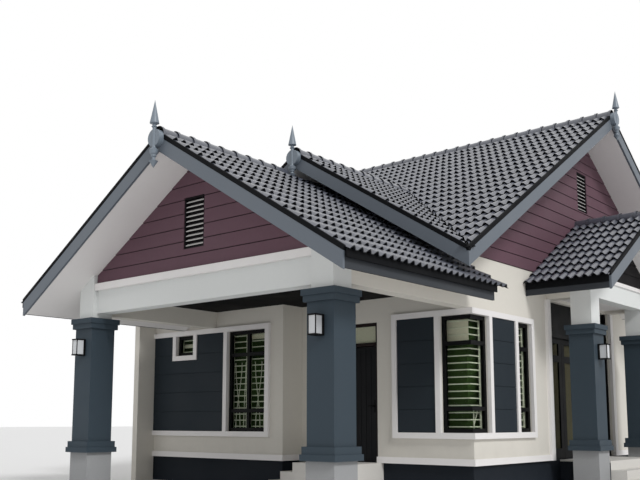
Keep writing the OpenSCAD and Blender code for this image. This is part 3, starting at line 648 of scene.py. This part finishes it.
def slope_frame(key, sign):
    """Directions along and up one slope of a roof, its ridge's middle, its half
    width and its top."""
    low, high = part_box(key + "_roof")
    if RIDGE_AXIS[key] == "y":
        mid, half = (low.x + high.x) / 2, (high.x - low.x) / 2
        out, along = Vector((sign, 0, 0)), Vector((0, 1, 0))
    else:
        mid, half = (low.y + high.y) / 2, (high.y - low.y) / 2
        out, along = Vector((0, sign, 0)), Vector((1, 0, 0))
    up = (Vector((0, 0, SLOPE)) - out).normalized()
    if along.cross(up).z < 0:
        along = -along
    return along, up, mid, half, high.z


def roof_point(key, on_ridge, across, z):
    """A point from its place along a roof's ridge and across it."""
    if RIDGE_AXIS[key] == "y":
        return Vector((across, on_ridge, z))
    return Vector((on_ridge, across, z))


def gable_end(key, past):
    """The place along a roof's ridge that lies this far past its gable."""
    low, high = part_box(key + "_roof")
    return low.y - past if RIDGE_AXIS[key] == "y" else high.x + past


def tile_field(name, origin, along, up, width, length, cuts):
    """A field of interlocking rolled tiles on one roof slope."""
    s = bpy.context.scene.bungalow_sizes
    rolls = max(1, round(width / s.roll))
    # up to 3 cm past a whole number of courses is spread over them
    courses = max(1, math.ceil((length - 0.03) / s.gauge))
    w, g = width / rolls, length / courses
    strips = len(WAVE) - 1
    near = w / 40
    bpy.ops.object.select_all(action="DESELECT")
    bpy.ops.mesh.primitive_grid_add(x_subdivisions=strips, y_subdivisions=1, size=1,
                                    location=(0, 0, 0))
    ob = bpy.context.object
    ob.name = ob.data.name = name
    ob.scale = (w, g + COURSE_LAP, 1)
    ob.location = (w / 2, (g + COURSE_LAP) / 2, 0)
    set_down(ob)
    for k, rise in enumerate(WAVE):
        x = k * w / strips
        if rise:
            shift(ob, (0, 0, rise * s.wave), lambda v: abs(v.co.x - x) < near)
            # the roll stands higher at its lower end, and leaves a mouth there, darkened by
            # the painted shade on the tile ends
            shift(ob, (0, 0, rise * s.crown),
                  lambda v: abs(v.co.x - x) < near and v.co.y < g / 2)
    shift(ob, (0, 0, s.step), lambda v: v.co.y < g / 2)
    repeat(ob, rolls, (w, 0, 0), weld=True)
    thicken(ob, TILE_THICK)
    repeat(ob, courses, (0, g, 0))
    shift(ob, (0, 0, LIFT))
    # each tile is two rolls wide and has a tone of its own
    cells = np.floor(face_values(ob, "center")[:, :2] / (2 * w, g)).astype(int)
    tone_and_shade_of(ob, cells.T, 7, 0.15)
    place(ob, origin, along, up)
    for point, normal in cuts:
        cut(ob, point, normal)
    return finish_piece(ob, finish("tile"), smooth_at=40)


class BUNGALOW_OT_paint(bpy.types.Operator):
    """Gives every part of the building its finish"""
    bl_idname = "bungalow.paint"
    bl_label = "Paint the Building"

    def execute(self, context):
        given = {n: key for key, names in NODE_FINISH.items() for n in names}
        for name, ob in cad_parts.items():
            if name not in given:
                raise RuntimeError(f"no finish for {name}")
            ob.data.materials.clear()
            ob.data.materials.append(finish(given[name]))
        return {"FINISHED"}


class BUNGALOW_OT_tiles(bpy.types.Operator):
    """Lays the tiles on every roof slope"""
    bl_idname = "bungalow.tiles"
    bl_label = "Lay the Tiles"

    def execute(self, context):
        over = EDGE + context.scene.bungalow_sizes.nose
        side = EDGE - 0.014
        # clearance at a wall, and half the open width of a valley
        clear, gap = 0.004, 0.035

        def slope(name, key, sign, start, stop, cuts=()):
            """The tiles of one slope, from start to stop along the ridge."""
            along, up, mid, half, top = slope_frame(key, sign)
            reach = half + over
            begin = start if max(along) > 0.5 else stop
            origin = roof_point(key, begin, mid + sign * reach, top - SLOPE * reach)
            tile_field(name, origin, along, up, stop - start, reach / COS, cuts)

        low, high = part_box("porch_roof")
        # past the front wall's corner the right slope ends in an open verge
        turn = high.y - 0.22
        slope("porch_tiles_right", "porch", 1, low.y - side, turn)
        slope("porch_tiles_return", "porch", 1, turn, high.y - clear,
              [(Vector((CORNER.x, 0, 0)), Vector((1, 0, 0)))])
        # the left slope runs under the cross roof's barge board
        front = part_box("cross_barge")[0].y
        slope("porch_tiles_left", "porch", -1, low.y - side, front - clear)
        low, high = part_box("side_roof")
        slope("side_tiles_front", "side", -1, low.x + clear, high.x + side)
        slope("side_tiles_back", "side", 1, low.x + clear, high.x + side)
        # the valleys run from the two eave corners up to the end of the cross ridge
        low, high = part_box("cross_roof")
        m_low, m_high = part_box("main_roof")
        mid = (low.x + high.x) / 2
        for sign, word, corner_x, start, stop in (
                (1, "right", high.x, mid, m_high.x + side),
                (-1, "left", low.x, m_low.x, mid)):
            point = Vector((corner_x, low.y, 0))
            run = (Vector((mid, high.y, 0)) - point).normalized()
            # this normal points from the cross roof to the main roof
            away = Vector((run.y, -run.x, 0)) * sign
            slope(f"cross_tiles_{word}", "cross", sign, low.y - side, high.y,
                  [(point - away * gap, away)])
            slope(f"main_tiles_{word}", "main", -1, start, stop,
                  [(point + away * gap, -away)])
        slope("main_tiles_back", "main", 1, m_low.x, m_high.x + side)
        return {"FINISHED"}


def ridge_caps(name, start, stop):
    """Overlapping half-round caps from the gable end back."""
    s = bpy.context.scene.bungalow_sizes
    total = (stop - start).length
    count = max(1, round(total / s.cap_gauge))
    gauge = total / count
    # how far a cap reaches down past its middle, and the length of its raised collar
    skirt, collar = 0.03, 0.05
    bpy.ops.object.select_all(action="DESELECT")
    bpy.ops.mesh.primitive_cylinder_add(vertices=28, radius=s.cap_r,
                                        depth=gauge + CAP_LAP, end_fill_type="NOTHING",
                                        rotation=(math.pi / 2, 0, 0))
    ob = bpy.context.object
    ob.name = ob.data.name = name
    ob.location = (0, (gauge + CAP_LAP) / 2, 0)
    set_down(ob)
    pick(ob, "FACE", lambda f: True)
    bpy.ops.mesh.bisect(plane_co=(0, 0, -skirt), plane_no=(0, 0, -1), clear_outer=True)
    for y in (collar - 0.005, collar + 0.005):
        bpy.ops.mesh.select_all(action="SELECT")
        bpy.ops.mesh.bisect(plane_co=(0, y, 0), plane_no=(0, 1, 0))
    done()
    # the front grows to the collar, and the back tapers to slip under the next one
    for factor, test in ((1.13, lambda v: v.co.y < collar),
                         (0.93, lambda v: v.co.y > gauge)):
        pick(ob, "VERT", test)
        bpy.ops.transform.resize(value=(factor, 1, factor), center_override=(0, 0, 0))
        done()
    thicken(ob, TILE_THICK)
    repeat(ob, count, (0, gauge, 0))
    cells = np.floor(face_values(ob, "center")[:, 1] / gauge).astype(int)
    tone_and_shade_of(ob, (cells, cells), 3, 0.12)
    # X lies across the ridge and Y along it, so Z stands upright
    run = (stop - start).normalized()
    place(ob, start, run.cross(Vector((0, 0, 1))), run)
    return finish_piece(ob, finish("ridge"), smooth_at=40)


class BUNGALOW_OT_ridges(bpy.types.Operator):
    """Lays the ridge caps"""
    bl_idname = "bungalow.ridges"
    bl_label = "Lay the Ridge Caps"

    def execute(self, context):
        # the porch caps end just before the cross roof's finial
        ends = {"porch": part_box("cross_barge")[0].y - 0.16,
                "cross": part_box("cross_roof")[1].y - 0.01,
                "main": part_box("main_roof")[0].x, "side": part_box("side_roof")[0].x}
        for key, end in ends.items():
            _, _, mid, _, top = slope_frame(key, 1)
            z = top + LIFT + 0.004
            ridge_caps(f"{key}_ridge_caps", roof_point(key, gable_end(key, EDGE), mid, z),
                       roof_point(key, end, mid, z))
        return {"FINISHED"}


def rakes():
    """Dark bars that follow the top of every gable's barge boards, a painted shadow line
    under the tile edges.
    """
    made = []
    thick, tall = 0.048, LIFT + 0.042
    for key in RIDGE_AXIS:
        for sign in (1, -1):
            along, up, mid, half, top = slope_frame(key, sign)
            reach = half + EDGE
            foot = roof_point(key, gable_end(key, 0.02), mid + sign * reach,
                              top - SLOPE * reach)
            ob = bar("edge", (-thick / 2, 0, 0), (thick / 2, reach / COS, tall), 0.006)
            place(ob, foot, along, up)
            made.append(ob)
    return made


def valley_gutters():
    """Gutters folded along the lines where the cross and main roofs meet."""
    made = []
    low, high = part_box("cross_roof")
    mid, half = (low.x + high.x) / 2, (high.x - low.x) / 2
    width = 0.24
    # each wing lies on its own roof slope
    rise = width / 2 * SLOPE * math.sin(math.radians(45)) * 0.92
    for corner_x in (high.x, low.x):
        foot = Vector((corner_x, low.y, high.z - SLOPE * half))
        run = Vector((mid, high.y, high.z)) - foot
        bpy.ops.object.select_all(action="DESELECT")
        bpy.ops.mesh.primitive_grid_add(x_subdivisions=2, y_subdivisions=1, size=1)
        ob = bpy.context.object
        ob.scale = (width, run.length, 1)
        ob.location = (0, run.length / 2, 0)
        set_down(ob)
        shift(ob, (0, 0, rise), lambda v: abs(v.co.x) > width / 4)
        thicken(ob, 0.003, 1.0)
        across = run.normalized().cross(Vector((0, 0, 1)))
        place(ob, foot + Vector((0, 0, 0.004)), across, run)
        made.append(ob)
    return made


class BUNGALOW_OT_edges(bpy.types.Operator):
    """Adds the dark bars of painted shadow under the tile edges and eaves, and the valley
    gutters
    """
    bl_idname = "bungalow.edges"
    bl_label = "Close the Roof Edges"

    def execute(self, context):
        finish_piece(merge("verge_shadow_fillets", rakes()), finish("verge"))
        # dark bars of painted shadow stand before the fascias, under the mouths of the
        # lowest tiles
        shade_bars = [bar("shade_bar", at(*a), at(*b), 0.004) for a, b in (
            ((0.755, -4.34, 2.755), (0.782, -0.505, 2.868)),
            ((-6.662, -4.34, 2.755), (-6.635, -0.56, 2.868)),
            ((-7.695, 10.955, 3.19), (0.755, 10.982, 3.318)),
            ((0.01, 2.018, 3.17), (1.598, 2.045, 3.29)),
            ((0.01, 6.875, 3.17), (1.598, 6.902, 3.29)))]
        finish_piece(merge("eave_shade_bars", shade_bars), finish("verge"))
        finish_piece(merge("valley_gutters", valley_gutters()), finish("lead"))
        return {"FINISHED"}


def vent_boxes():
    """Corners of the vent in the front gable, then of the one in the main gable."""
    points = np.array([v.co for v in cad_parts["gable_vents"].data.vertices])
    front, right = points[:, 1] < CORNER.y - 1, points[:, 1] > CORNER.y
    return [(Vector(points[part].min(axis=0)), Vector(points[part].max(axis=0)))
            for part in (front, right)]


def lap_boards(name, centre, across, half, z0, apex, opening=None):
    """Weatherboards filling a gable up to its rakes."""
    s = bpy.context.scene.bungalow_sizes
    up = Vector((0, 0, 1))
    thick, lean = 0.020, 0.006
    ob = bar(name, (-half, s.groove / 2, 0), (half, s.lap - s.groove / 2, thick), 0.003)
    # each board leans in a little towards its top
    shift(ob, (0, 0, -lean), lambda v: v.co.y > s.lap / 2 and v.co.z > thick / 2)
    repeat(ob, math.ceil((apex - z0) / s.lap), (0, s.lap, 0))
    place(ob, Vector((centre.x, centre.y, z0)), across, up)
    for sign in (1, -1):
        cut(ob, Vector((centre.x, centre.y, apex)),
            (across * sign * SLOPE + up).normalized())
    if opening:
        hole(ob, *opening)
    return ob


class BUNGALOW_OT_gables(bpy.types.Operator):
    """Boards the three gables"""
    bl_idname = "bungalow.gables"
    bl_label = "Board the Gables"

    def execute(self, context):
        x, y = Vector((1, 0, 0)), Vector((0, 1, 0))
        (f_low, f_high), (r_low, r_high) = vent_boxes()

        def board(key, centre, across, half, opening=None):
            low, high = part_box(key)
            return lap_boards(f"{key}_boards", centre, across, half, low.z + 0.002,
                              high.z - 0.004, opening)

        low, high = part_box("porch_gable")
        ob = board("porch_gable", Vector(((low.x + high.x) / 2, low.y, 0)), x,
                   (high.x - low.x) / 2 - 0.002,
                   (Vector((f_low.x, low.y - 0.2, f_low.z)),
                    Vector((f_high.x, high.y - 0.02, f_high.z))))
        finish_piece(ob, finish("plum"))
        # the main gable's middle is the main ridge, not the middle of the wall
        low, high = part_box("main_gable")
        m_low, m_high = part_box("main_roof")
        ob = board("main_gable", Vector((high.x, (m_low.y + m_high.y) / 2, 0)), y,
                   (high.y - low.y) / 2 + 0.6,
                   (Vector((low.x + 0.02, r_low.y, r_low.z)),
                    Vector((high.x + 0.2, r_high.y, r_high.z))))
        cut(ob, Vector((0, low.y, 0)), -y)
        cut(ob, Vector((0, high.y, 0)), y)
        finish_piece(ob, finish("plum"))
        low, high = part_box("side_gable")
        ob = board("side_gable", Vector((high.x, (low.y + high.y) / 2, 0)), y,
                   (high.y - low.y) / 2 - 0.002)
        finish_piece(ob, finish("dark_board"))
        return {"FINISHED"}


class BUNGALOW_OT_vents(bpy.types.Operator):
    """Builds the two louvred gable vents"""
    bl_idname = "bungalow.vents"
    bl_label = "Build the Vents"

    def execute(self, context):
        rim, depth, count = 0.03, 0.07, 10
        wide, thick, tilt = 0.056, 0.012, math.radians(35)
        boxes, slats = [], []
        for (low, high), turn in zip(vent_boxes(), (0, math.pi / 2)):
            mid = (low + high) / 2
            w, spot = high.x - low.x, Vector((mid.x, low.y, low.z))
            if turn:
                w, spot = high.y - low.y, Vector((high.x, mid.y, low.z))
            h = high.z - low.z
            made = [bar("rim", (-w / 2, 0.0, z), (w / 2, depth, z + rim), 0.003)
                    for z in (0, h - rim)]
            made += [bar("rim", (x, 0.0, rim), (x + rim, depth, h - rim), 0.003)
                     for x in (-w / 2, w / 2 - rim)]
            # the dark back stands for the shade behind the slats, painted shade
            made.append(bar("back", (-w / 2 + rim, depth - 0.008, rim),
                            (w / 2 - rim, depth, h - rim), 0.001))
            gap = (h - 2 * rim) / count
            slat = bar("slat", (-w / 2 + rim + 0.001, -wide / 2, -thick / 2),
                       (w / 2 - rim - 0.001, wide / 2, thick / 2), 0.003)
            slat.rotation_euler.x = tilt
            set_down(slat)
            shift(slat, (0, 0.03, rim + gap / 2))
            repeat(slat, count, (0, 0, gap))
            for ob, group in ((merge("rim", made), boxes), (slat, slats)):
                stand(ob, spot, turn)
                group.append(ob)
        ob = finish_piece(merge("gable_vent_frames", boxes), finish("dark_board"))
        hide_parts("gable_vents")
        finish_piece(merge("gable_vent_slats", slats), finish("vent"))
        return {"FINISHED"}


class BUNGALOW_OT_wall_boards(bpy.types.Operator):
    """Boards the navy panels beside the windows"""
    bl_idname = "bungalow.wall_boards"
    bl_label = "Board the Panels"

    def execute(self, context):
        s = context.scene.bungalow_sizes
        made = []
        rise = (HEAD - SILL) / s.rows
        # half the groove between boards, the gap at their ends, and where they stand
        # out from the wall's face
        groove, end, back, face = 0.005, 0.003, 0.024, 0.035
        for k in range(s.rows):
            z0, z1 = SILL + k * rise + groove, SILL + (k + 1) * rise - groove
            made.append(bar("board", at(back, 0.62 + end, z0), at(face, 1.48 - end, z1),
                            0.003))
            for y, a, b in ((0, -1.5, -0.7), (-0.55, -7.55, -5.363)):
                made.append(bar("board", at(a + end, y - face, z0),
                                at(b - end, y - back, z1), 0.003))
            if z1 > 2.01:
                # the small high window stands in the left panel
                hole(made[-1], at(-6.93, -0.7, 2.007), at(-6.174, -0.5, 2.7))
        finish_piece(merge("wall_boards", made), finish("navy"))
        return {"FINISHED"}


# where the grilles on the left stand, in front of the corner
LEFT_BARS = -0.43
# gaps in a grille: sill to upright, upright to head, and highest bar to head
FOOT, TOP, HIGHEST = 0.07, 0.06, 0.09


def window_bar(axis, off, u0, u1, z0, z1, deep):
    """A bar in a window's plane, from u0 to u1 along it and from z0 to z1."""
    if axis == "x":
        return bar("bar", at(u0, off - deep, z0), at(u1, off + deep, z1), 0.003)
    return bar("bar", at(off - deep, u0, z0), at(off + deep, u1, z1), 0.003)


def stem(axis, off, u, lean, z0, z1):
    """A thin curved bar that rises from the foot of a grille."""
    thick, steps = 0.012, 8
    rise = (z1 - z0) / steps
    low = at(u, off, z0) if axis == "x" else at(off, u, z0)
    ob = bar("stem", low - Vector((thick, thick, 0)) / 2,
             low + Vector((thick, thick, 2 * thick)) / 2, 0.001)
    for k in range(steps):
        here, there = (math.cos(math.pi * n / steps) for n in (k, k + 1))
        side = lean * (here - there) / 2
        top = max(v.co.z for v in ob.data.vertices)
        pick(ob, "FACE", lambda f: f.normal.z > 0.9
             and f.calc_center_median().z > top - 0.001)
        value = (side, 0, rise) if axis == "x" else (0, side, rise)
        bpy.ops.mesh.extrude_region_move(TRANSFORM_OT_translate={"value": value})
        done()
    return ob


class BUNGALOW_OT_window_bars(bpy.types.Operator):
    """Fits the bars behind the window glass"""
    bl_idname = "bungalow.window_bars"
    bl_label = "Fit the Window Bars"

    def execute(self, context):
        s = context.scene.bungalow_sizes
        made = []
        # plane, ends, heights, uprights at the low and high end, reach past each end
        grilles = (("x", 0.12, -0.60, -0.12, SILL, HEAD, (), (0.01, 0.01)),
                   ("y", -0.12, 0.12, 0.46, SILL, HEAD, ("high",), (0, 0)),
                   ("y", -0.12, 1.64, 2.04, SILL, HEAD, ("low", "high"), (0, 0)),
                   ("x", LEFT_BARS, -5.235, -4.85, SILL, HEAD, ("low", "high"), (0, 0)),
                   ("x", LEFT_BARS, -4.745, -4.24, SILL, HEAD, ("low",), (0, 0.01)),
                   ("x", LEFT_BARS, -6.785, -6.40, HEAD - 0.44, HEAD, ("low",), (0, 0)))
        for axis, off, a, c, z0, z1, ends, reach in grilles:
            for end in ends:
                u = a if end == "low" else c
                made.append(window_bar(axis, off, u - 0.015, u + 0.015, z0 + FOOT,
                                       z1 - TOP, s.bar / 2 + 0.003))
            count = int((z1 - z0 - FOOT - HIGHEST) / s.bar_gap) + 1
            first = z1 - HIGHEST - (count - 1) * s.bar_gap
            ob = window_bar(axis, off, a - reach[0], c + reach[1], first - s.bar / 2,
                            first + s.bar / 2, s.bar / 2)
            repeat(ob, count, (0, 0, s.bar_gap))
            made.append(ob)
            mid = (a + c) / 2
            stems, top, before = (), 0, 0.012
            if off == LEFT_BARS and z1 - z0 > 1:
                stems = ((mid - 0.10, 0.16), (mid + 0.02, -0.14), (mid + 0.12, 0.05))
                top, before = z0 + 1.35, -0.012
            elif axis == "y" and a == 0.12:
                stems, top = ((a + 0.08, 0.0), (a + 0.08, 0.12)), z0 + 0.38
            made += [stem(axis, off + before, u, lean, z0 + FOOT, top)
                     for u, lean in stems]
        finish_piece(merge("window_bars", made), finish("bars"))
        for name, look, slot, bevel, boxes in (
                # boards behind the top lights
                ("pelmet_boards", "pelmet", "white_trim", 0.003,
                 (((-0.68, 0.155, 2.07), (-0.15, 0.165, 2.50)),
                  ((-4.90, -0.385, 2.36), (-4.24, -0.375, 2.50)),
                  ((-6.80, -0.385, 2.29), (-6.38, -0.375, 2.37)))),
                # cloth that hangs behind the bars; its mottled green is a painted reflection
                # of foliage in the glass
                ("window_blinds", "blind", "navy_boards", 0.001,
                 (((-0.80, 0.215, 0.50), (-0.225, 0.22, 2.52)),
                  ((-0.225, 0.215, 0.50), (-0.22, 0.90, 2.52)),
                  ((-0.225, 1.50, 0.50), (-0.22, 2.45, 2.52)),
                  ((-5.50, -0.335, 0.50), (-4.15, -0.33, 2.52)),
                  ((-7.05, -0.335, 2.05), (-6.30, -0.33, 2.52))))):
            made = [bar(name, at(*low), at(*high), bevel) for low, high in boxes]
            finish_piece(merge(name, made), finish(look))
        return {"FINISHED"}


class BUNGALOW_OT_lamps(bpy.types.Operator):
    """Builds the three wall lamps"""
    bl_idname = "bungalow.lamps"
    bl_label = "Build the Wall Lamps"

    def execute(self, context):
        w, d, h = 0.15, 0.18, 0.29
        post, plate, back = 0.014, 0.02, 0.025
        made = [bar("post", (x - post / 2, y, 0.012), (x + post / 2, y + post, h - 0.012),
                    0.002)
                for y in (-d, -back - post) for x in (-w / 2 + 0.011, w / 2 - 0.011)]
        made += [bar("plate", (-w / 2, -d - 0.012, z), (w / 2, -0.02, z + plate), 0.004)
                 for z in (0, h - plate)]
        made.append(bar("back", (-w / 2, -back, 0), (w / 2, 0, h), 0.005))
        body = merge("lamp_body", made)
        glass = bar("lamp_panes", (-w / 2 + 0.014, -d + 0.006, 0.019),
                    (w / 2 - 0.014, -0.026, h - 0.019), 0.003)
        bodies, panes = [], []
        # half the width of a column, and the foot of a lamp on it
        half, z = 0.24, FLOOR + 2.17 - h
        for node, turn in (("column_right", 0), ("column_left", 0),
                           ("side_column_front", math.pi / 2)):
            low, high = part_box(node)
            mid = (low + high) / 2
            spot = Vector((mid.x + half, mid.y, z)) if turn else \
                Vector((mid.x, mid.y - half, z))
            for source, group in ((body, bodies), (glass, panes)):
                ob = copy_of(source, f"{source.name}_{node}")
                stand(ob, spot, turn)
                group.append(ob)
        bpy.data.objects.remove(body)
        bpy.data.objects.remove(glass)
        ob = finish_piece(merge("lamp_frames", bodies), finish("black"))
        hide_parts("wall_lamps")
        finish_piece(merge("lamp_glasses", panes), finish("lamp_glass"))
        return {"FINISHED"}


class BUNGALOW_OT_doors(bpy.types.Operator):
    """Adds panels and handles to the doors"""
    bl_idname = "bungalow.doors"
    bl_label = "Finish the Doors"

    def execute(self, context):
        low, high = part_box("entry_door")
        y, edge, count = low.y, 0.02, 7
        wide = (high.x - low.x - 2 * edge) / count
        made = [bar("board", (x + 0.004, y - 0.008, low.z + edge),
                    (x + wide - 0.004, y + 0.001, high.z - edge), 0.003)
                for x in (low.x + edge + k * wide for k in range(count))]
        finish_piece(merge("entry_door_boards", made), finish("door"), "entry_door")
        # corners of the plate, the lever and its neck, from the spindle on the leaf's face
        spindle = Vector((high.x - 0.07, y, low.z + 1.0))
        made = [bar("part", spindle + Vector(a), spindle + Vector(b), bevel)
                for a, b, bevel in (
                    ((-0.024, -0.014, -0.11), (0.024, 0.001, 0.11), 0.005),
                    ((-0.13, -0.055, -0.01), (0.01, -0.038, 0.012), 0.005),
                    ((-0.011, -0.055, -0.01), (0.011, -0.01, 0.012), 0.004))]
        finish_piece(merge("entry_door_lever", made), finish("black"), "entry_door")
        # a pale board closes the light over the door
        ob = bar("transom_board", at(-2.905, 0.093, 2.165), at(-2.015, 0.105, 2.475), 0.002)
        finish_piece(ob, finish("pelmet"))
        # the two fixed leaves have glass and curtains too, a little larger than the lights
        fixed = ((3.148, 3.604), (5.316, 5.772))
        lights = ((0.206, 1.907), (2.033, 2.278))
        cloth = (-0.148, -0.138)
        for name, (x0, x1), key, slot in (
                ("fixed_leaf_glass", (-0.132, -0.124), "glass", "clear_glass"),
                ("fixed_leaf_curtains", cloth, "curtain", "dark_boards")):
            made = [bar("pane", at(x0, y0, z0), at(x1, y1, z1), 0.001)
                    for y0, y1 in fixed for z0, z1 in lights]
            finish_piece(merge(name, made), finish(key))
        # the pulls stand at the middle, on the meeting edges of the two leaves
        for word, side in (("front", 1), ("back", -1)):
            body = f"side_leaf_{word}"
            low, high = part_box("side_leaf_glass_" + word)
            made = [bar("curtain", (CORNER.x + cloth[0], low.y - 0.002, z0),
                        (CORNER.x + cloth[1], high.y + 0.002, z1), 0.001)
                    for z0, z1 in ((low.z - 0.002, FLOOR + lights[0][1]),
                                   (FLOOR + lights[1][0], high.z + 0.002))]
            finish_piece(merge(f"side_leaf_curtain_{word}", made), finish("curtain"), body)
            low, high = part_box(body)
            x, y = high.x, high.y - 0.065 if side > 0 else low.y + 0.065
            z0, z1 = low.z + 0.82, low.z + 1.22
            made = [bar("grip", (x + 0.038, y - 0.012, z0), (x + 0.058, y + 0.012, z1),
                        0.006)]
            made += [bar("foot", (x - 0.001, y - 0.008, z - 0.009),
                         (x + 0.045, y + 0.008, z + 0.009), 0.003)
                     for z in (z0 + 0.04, z1 - 0.04)]
            finish_piece(merge(f"side_door_pull_{word}", made), finish("black"), body)
        return {"FINISHED"}


class BUNGALOW_OT_facings(bpy.types.Operator):
    """Adds the beam capping and the painted side of the landing"""
    bl_idname = "bungalow.facings"
    bl_label = "Add the Facings"

    def execute(self, context):
        made = [bar("strip", at(-5.479, -3.647, 3.032), at(-0.401, -3.5755, 3.157), 0.005),
                bar("strip", at(0.884, 3.271, 3.425), at(0.917, 5.649, 3.505), 0.004)]
        finish_piece(merge("beam_capping", made), finish("trim"))
        ob = bar("landing_facing", at(-0.028, 3.313, -0.498), at(0.967, 3.325, -0.03), 0.002)
        finish_piece(ob, finish("plinth"))
        return {"FINISHED"}


class BUNGALOW_OT_stage(bpy.types.Operator):
    """Sets the floor, the light and the camera"""
    bl_idname = "bungalow.stage"
    bl_label = "Set the Stage"

    def execute(self, context):
        scene = context.scene
        bpy.ops.object.select_all(action="DESELECT")
        bpy.ops.mesh.primitive_plane_add(size=400, location=(0, 0, 0))
        floor = bpy.context.object
        floor.name = "studio_floor"
        mat = bpy.data.materials.new("studio_floor_paint")
        mat.use_nodes = True
        shader = mat.node_tree.nodes["Principled BSDF"]
        shader.inputs["Base Color"].default_value = (0.82, 0.82, 0.82, 1)
        shader.inputs["Roughness"].default_value = 0.9
        floor.data.materials.append(mat)

        world = bpy.data.worlds.new("studio_light")
        world.use_nodes = True
        scene.world = world
        tree = world.node_tree
        back = tree.nodes["Background"]
        back.inputs["Color"].default_value = (1, 1, 1, 1)
        # white to the camera and in what shines or is clear, softer as a light
        path = tree.nodes.new("ShaderNodeLightPath").outputs
        seen = math_node(tree, "MAXIMUM", path["Is Camera Ray"], path["Is Glossy Ray"])
        seen = math_node(tree, "MAXIMUM", seen, path["Is Transmission Ray"])
        feed(tree, back.inputs["Strength"], map_range(tree, seen, (0.0, 1.0), (0.62, 1.0)))

        bpy.ops.object.light_add(type="SUN", location=(12, -4, 12))
        key = bpy.context.object
        key.name = "key_light"
        key.data.energy = 1.6
        key.data.angle = math.radians(14)
        key.rotation_euler = Vector((0.78, -0.25, 0.62)).to_track_quat("Z", "Y").to_euler()

        bpy.ops.object.camera_add(location=at(7.2285, -12.5331, 0.7158))
        cam = bpy.context.object
        cam.name = "main_camera"
        cam.rotation_euler = (math.radians(90 + 7.8949), 0, math.radians(40.0776))
        cam.data.sensor_width = 36
        cam.data.lens = 48.013
        cam.data.shift_y = 0.10
        cam.data.clip_end = 600
        scene.camera = cam
        scene.view_settings.view_transform = "Standard"
        return {"FINISHED"}


class BUNGALOW_PT_panel(bpy.types.Panel):
    """Lists the pieces and their sizes"""
    bl_idname = "BUNGALOW_PT_panel"
    bl_label = "Bungalow"
    bl_space_type = "VIEW_3D"
    bl_region_type = "UI"
    bl_category = "Bungalow"

    def draw(self, context):
        for group in (context.scene.bungalow_sizes, context.scene.bungalow_colours):
            for key in group.__annotations__:
                self.layout.prop(group, key)
        for cls in PIECES:
            self.layout.operator(cls.bl_idname)


PIECES = (BUNGALOW_OT_stage, BUNGALOW_OT_paint, BUNGALOW_OT_tiles, BUNGALOW_OT_ridges,
          BUNGALOW_OT_edges, BUNGALOW_OT_gables, BUNGALOW_OT_vents, BUNGALOW_OT_wall_boards,
          BUNGALOW_OT_window_bars, BUNGALOW_OT_lamps, BUNGALOW_OT_doors,
          BUNGALOW_OT_facings)
CLASSES = (BungalowColours, BungalowSizes) + PIECES + (BUNGALOW_PT_panel,)


def register():
    for cls in CLASSES:
        bpy.utils.register_class(cls)
    bpy.types.Scene.bungalow_colours = PointerProperty(type=BungalowColours)
    bpy.types.Scene.bungalow_sizes = PointerProperty(type=BungalowSizes)


def unregister():
    del bpy.types.Scene.bungalow_sizes
    del bpy.types.Scene.bungalow_colours
    for cls in reversed(CLASSES):
        bpy.utils.unregister_class(cls)


def main():
    register()
    bpy.ops.bungalow.stage()
    bpy.ops.bungalow.paint()
    bpy.ops.bungalow.tiles()
    bpy.ops.bungalow.ridges()
    bpy.ops.bungalow.edges()
    bpy.ops.bungalow.gables()
    bpy.ops.bungalow.vents()
    bpy.ops.bungalow.wall_boards()
    bpy.ops.bungalow.window_bars()
    bpy.ops.bungalow.lamps()
    bpy.ops.bungalow.doors()
    bpy.ops.bungalow.facings()


if __name__ == "__main__":
    main()
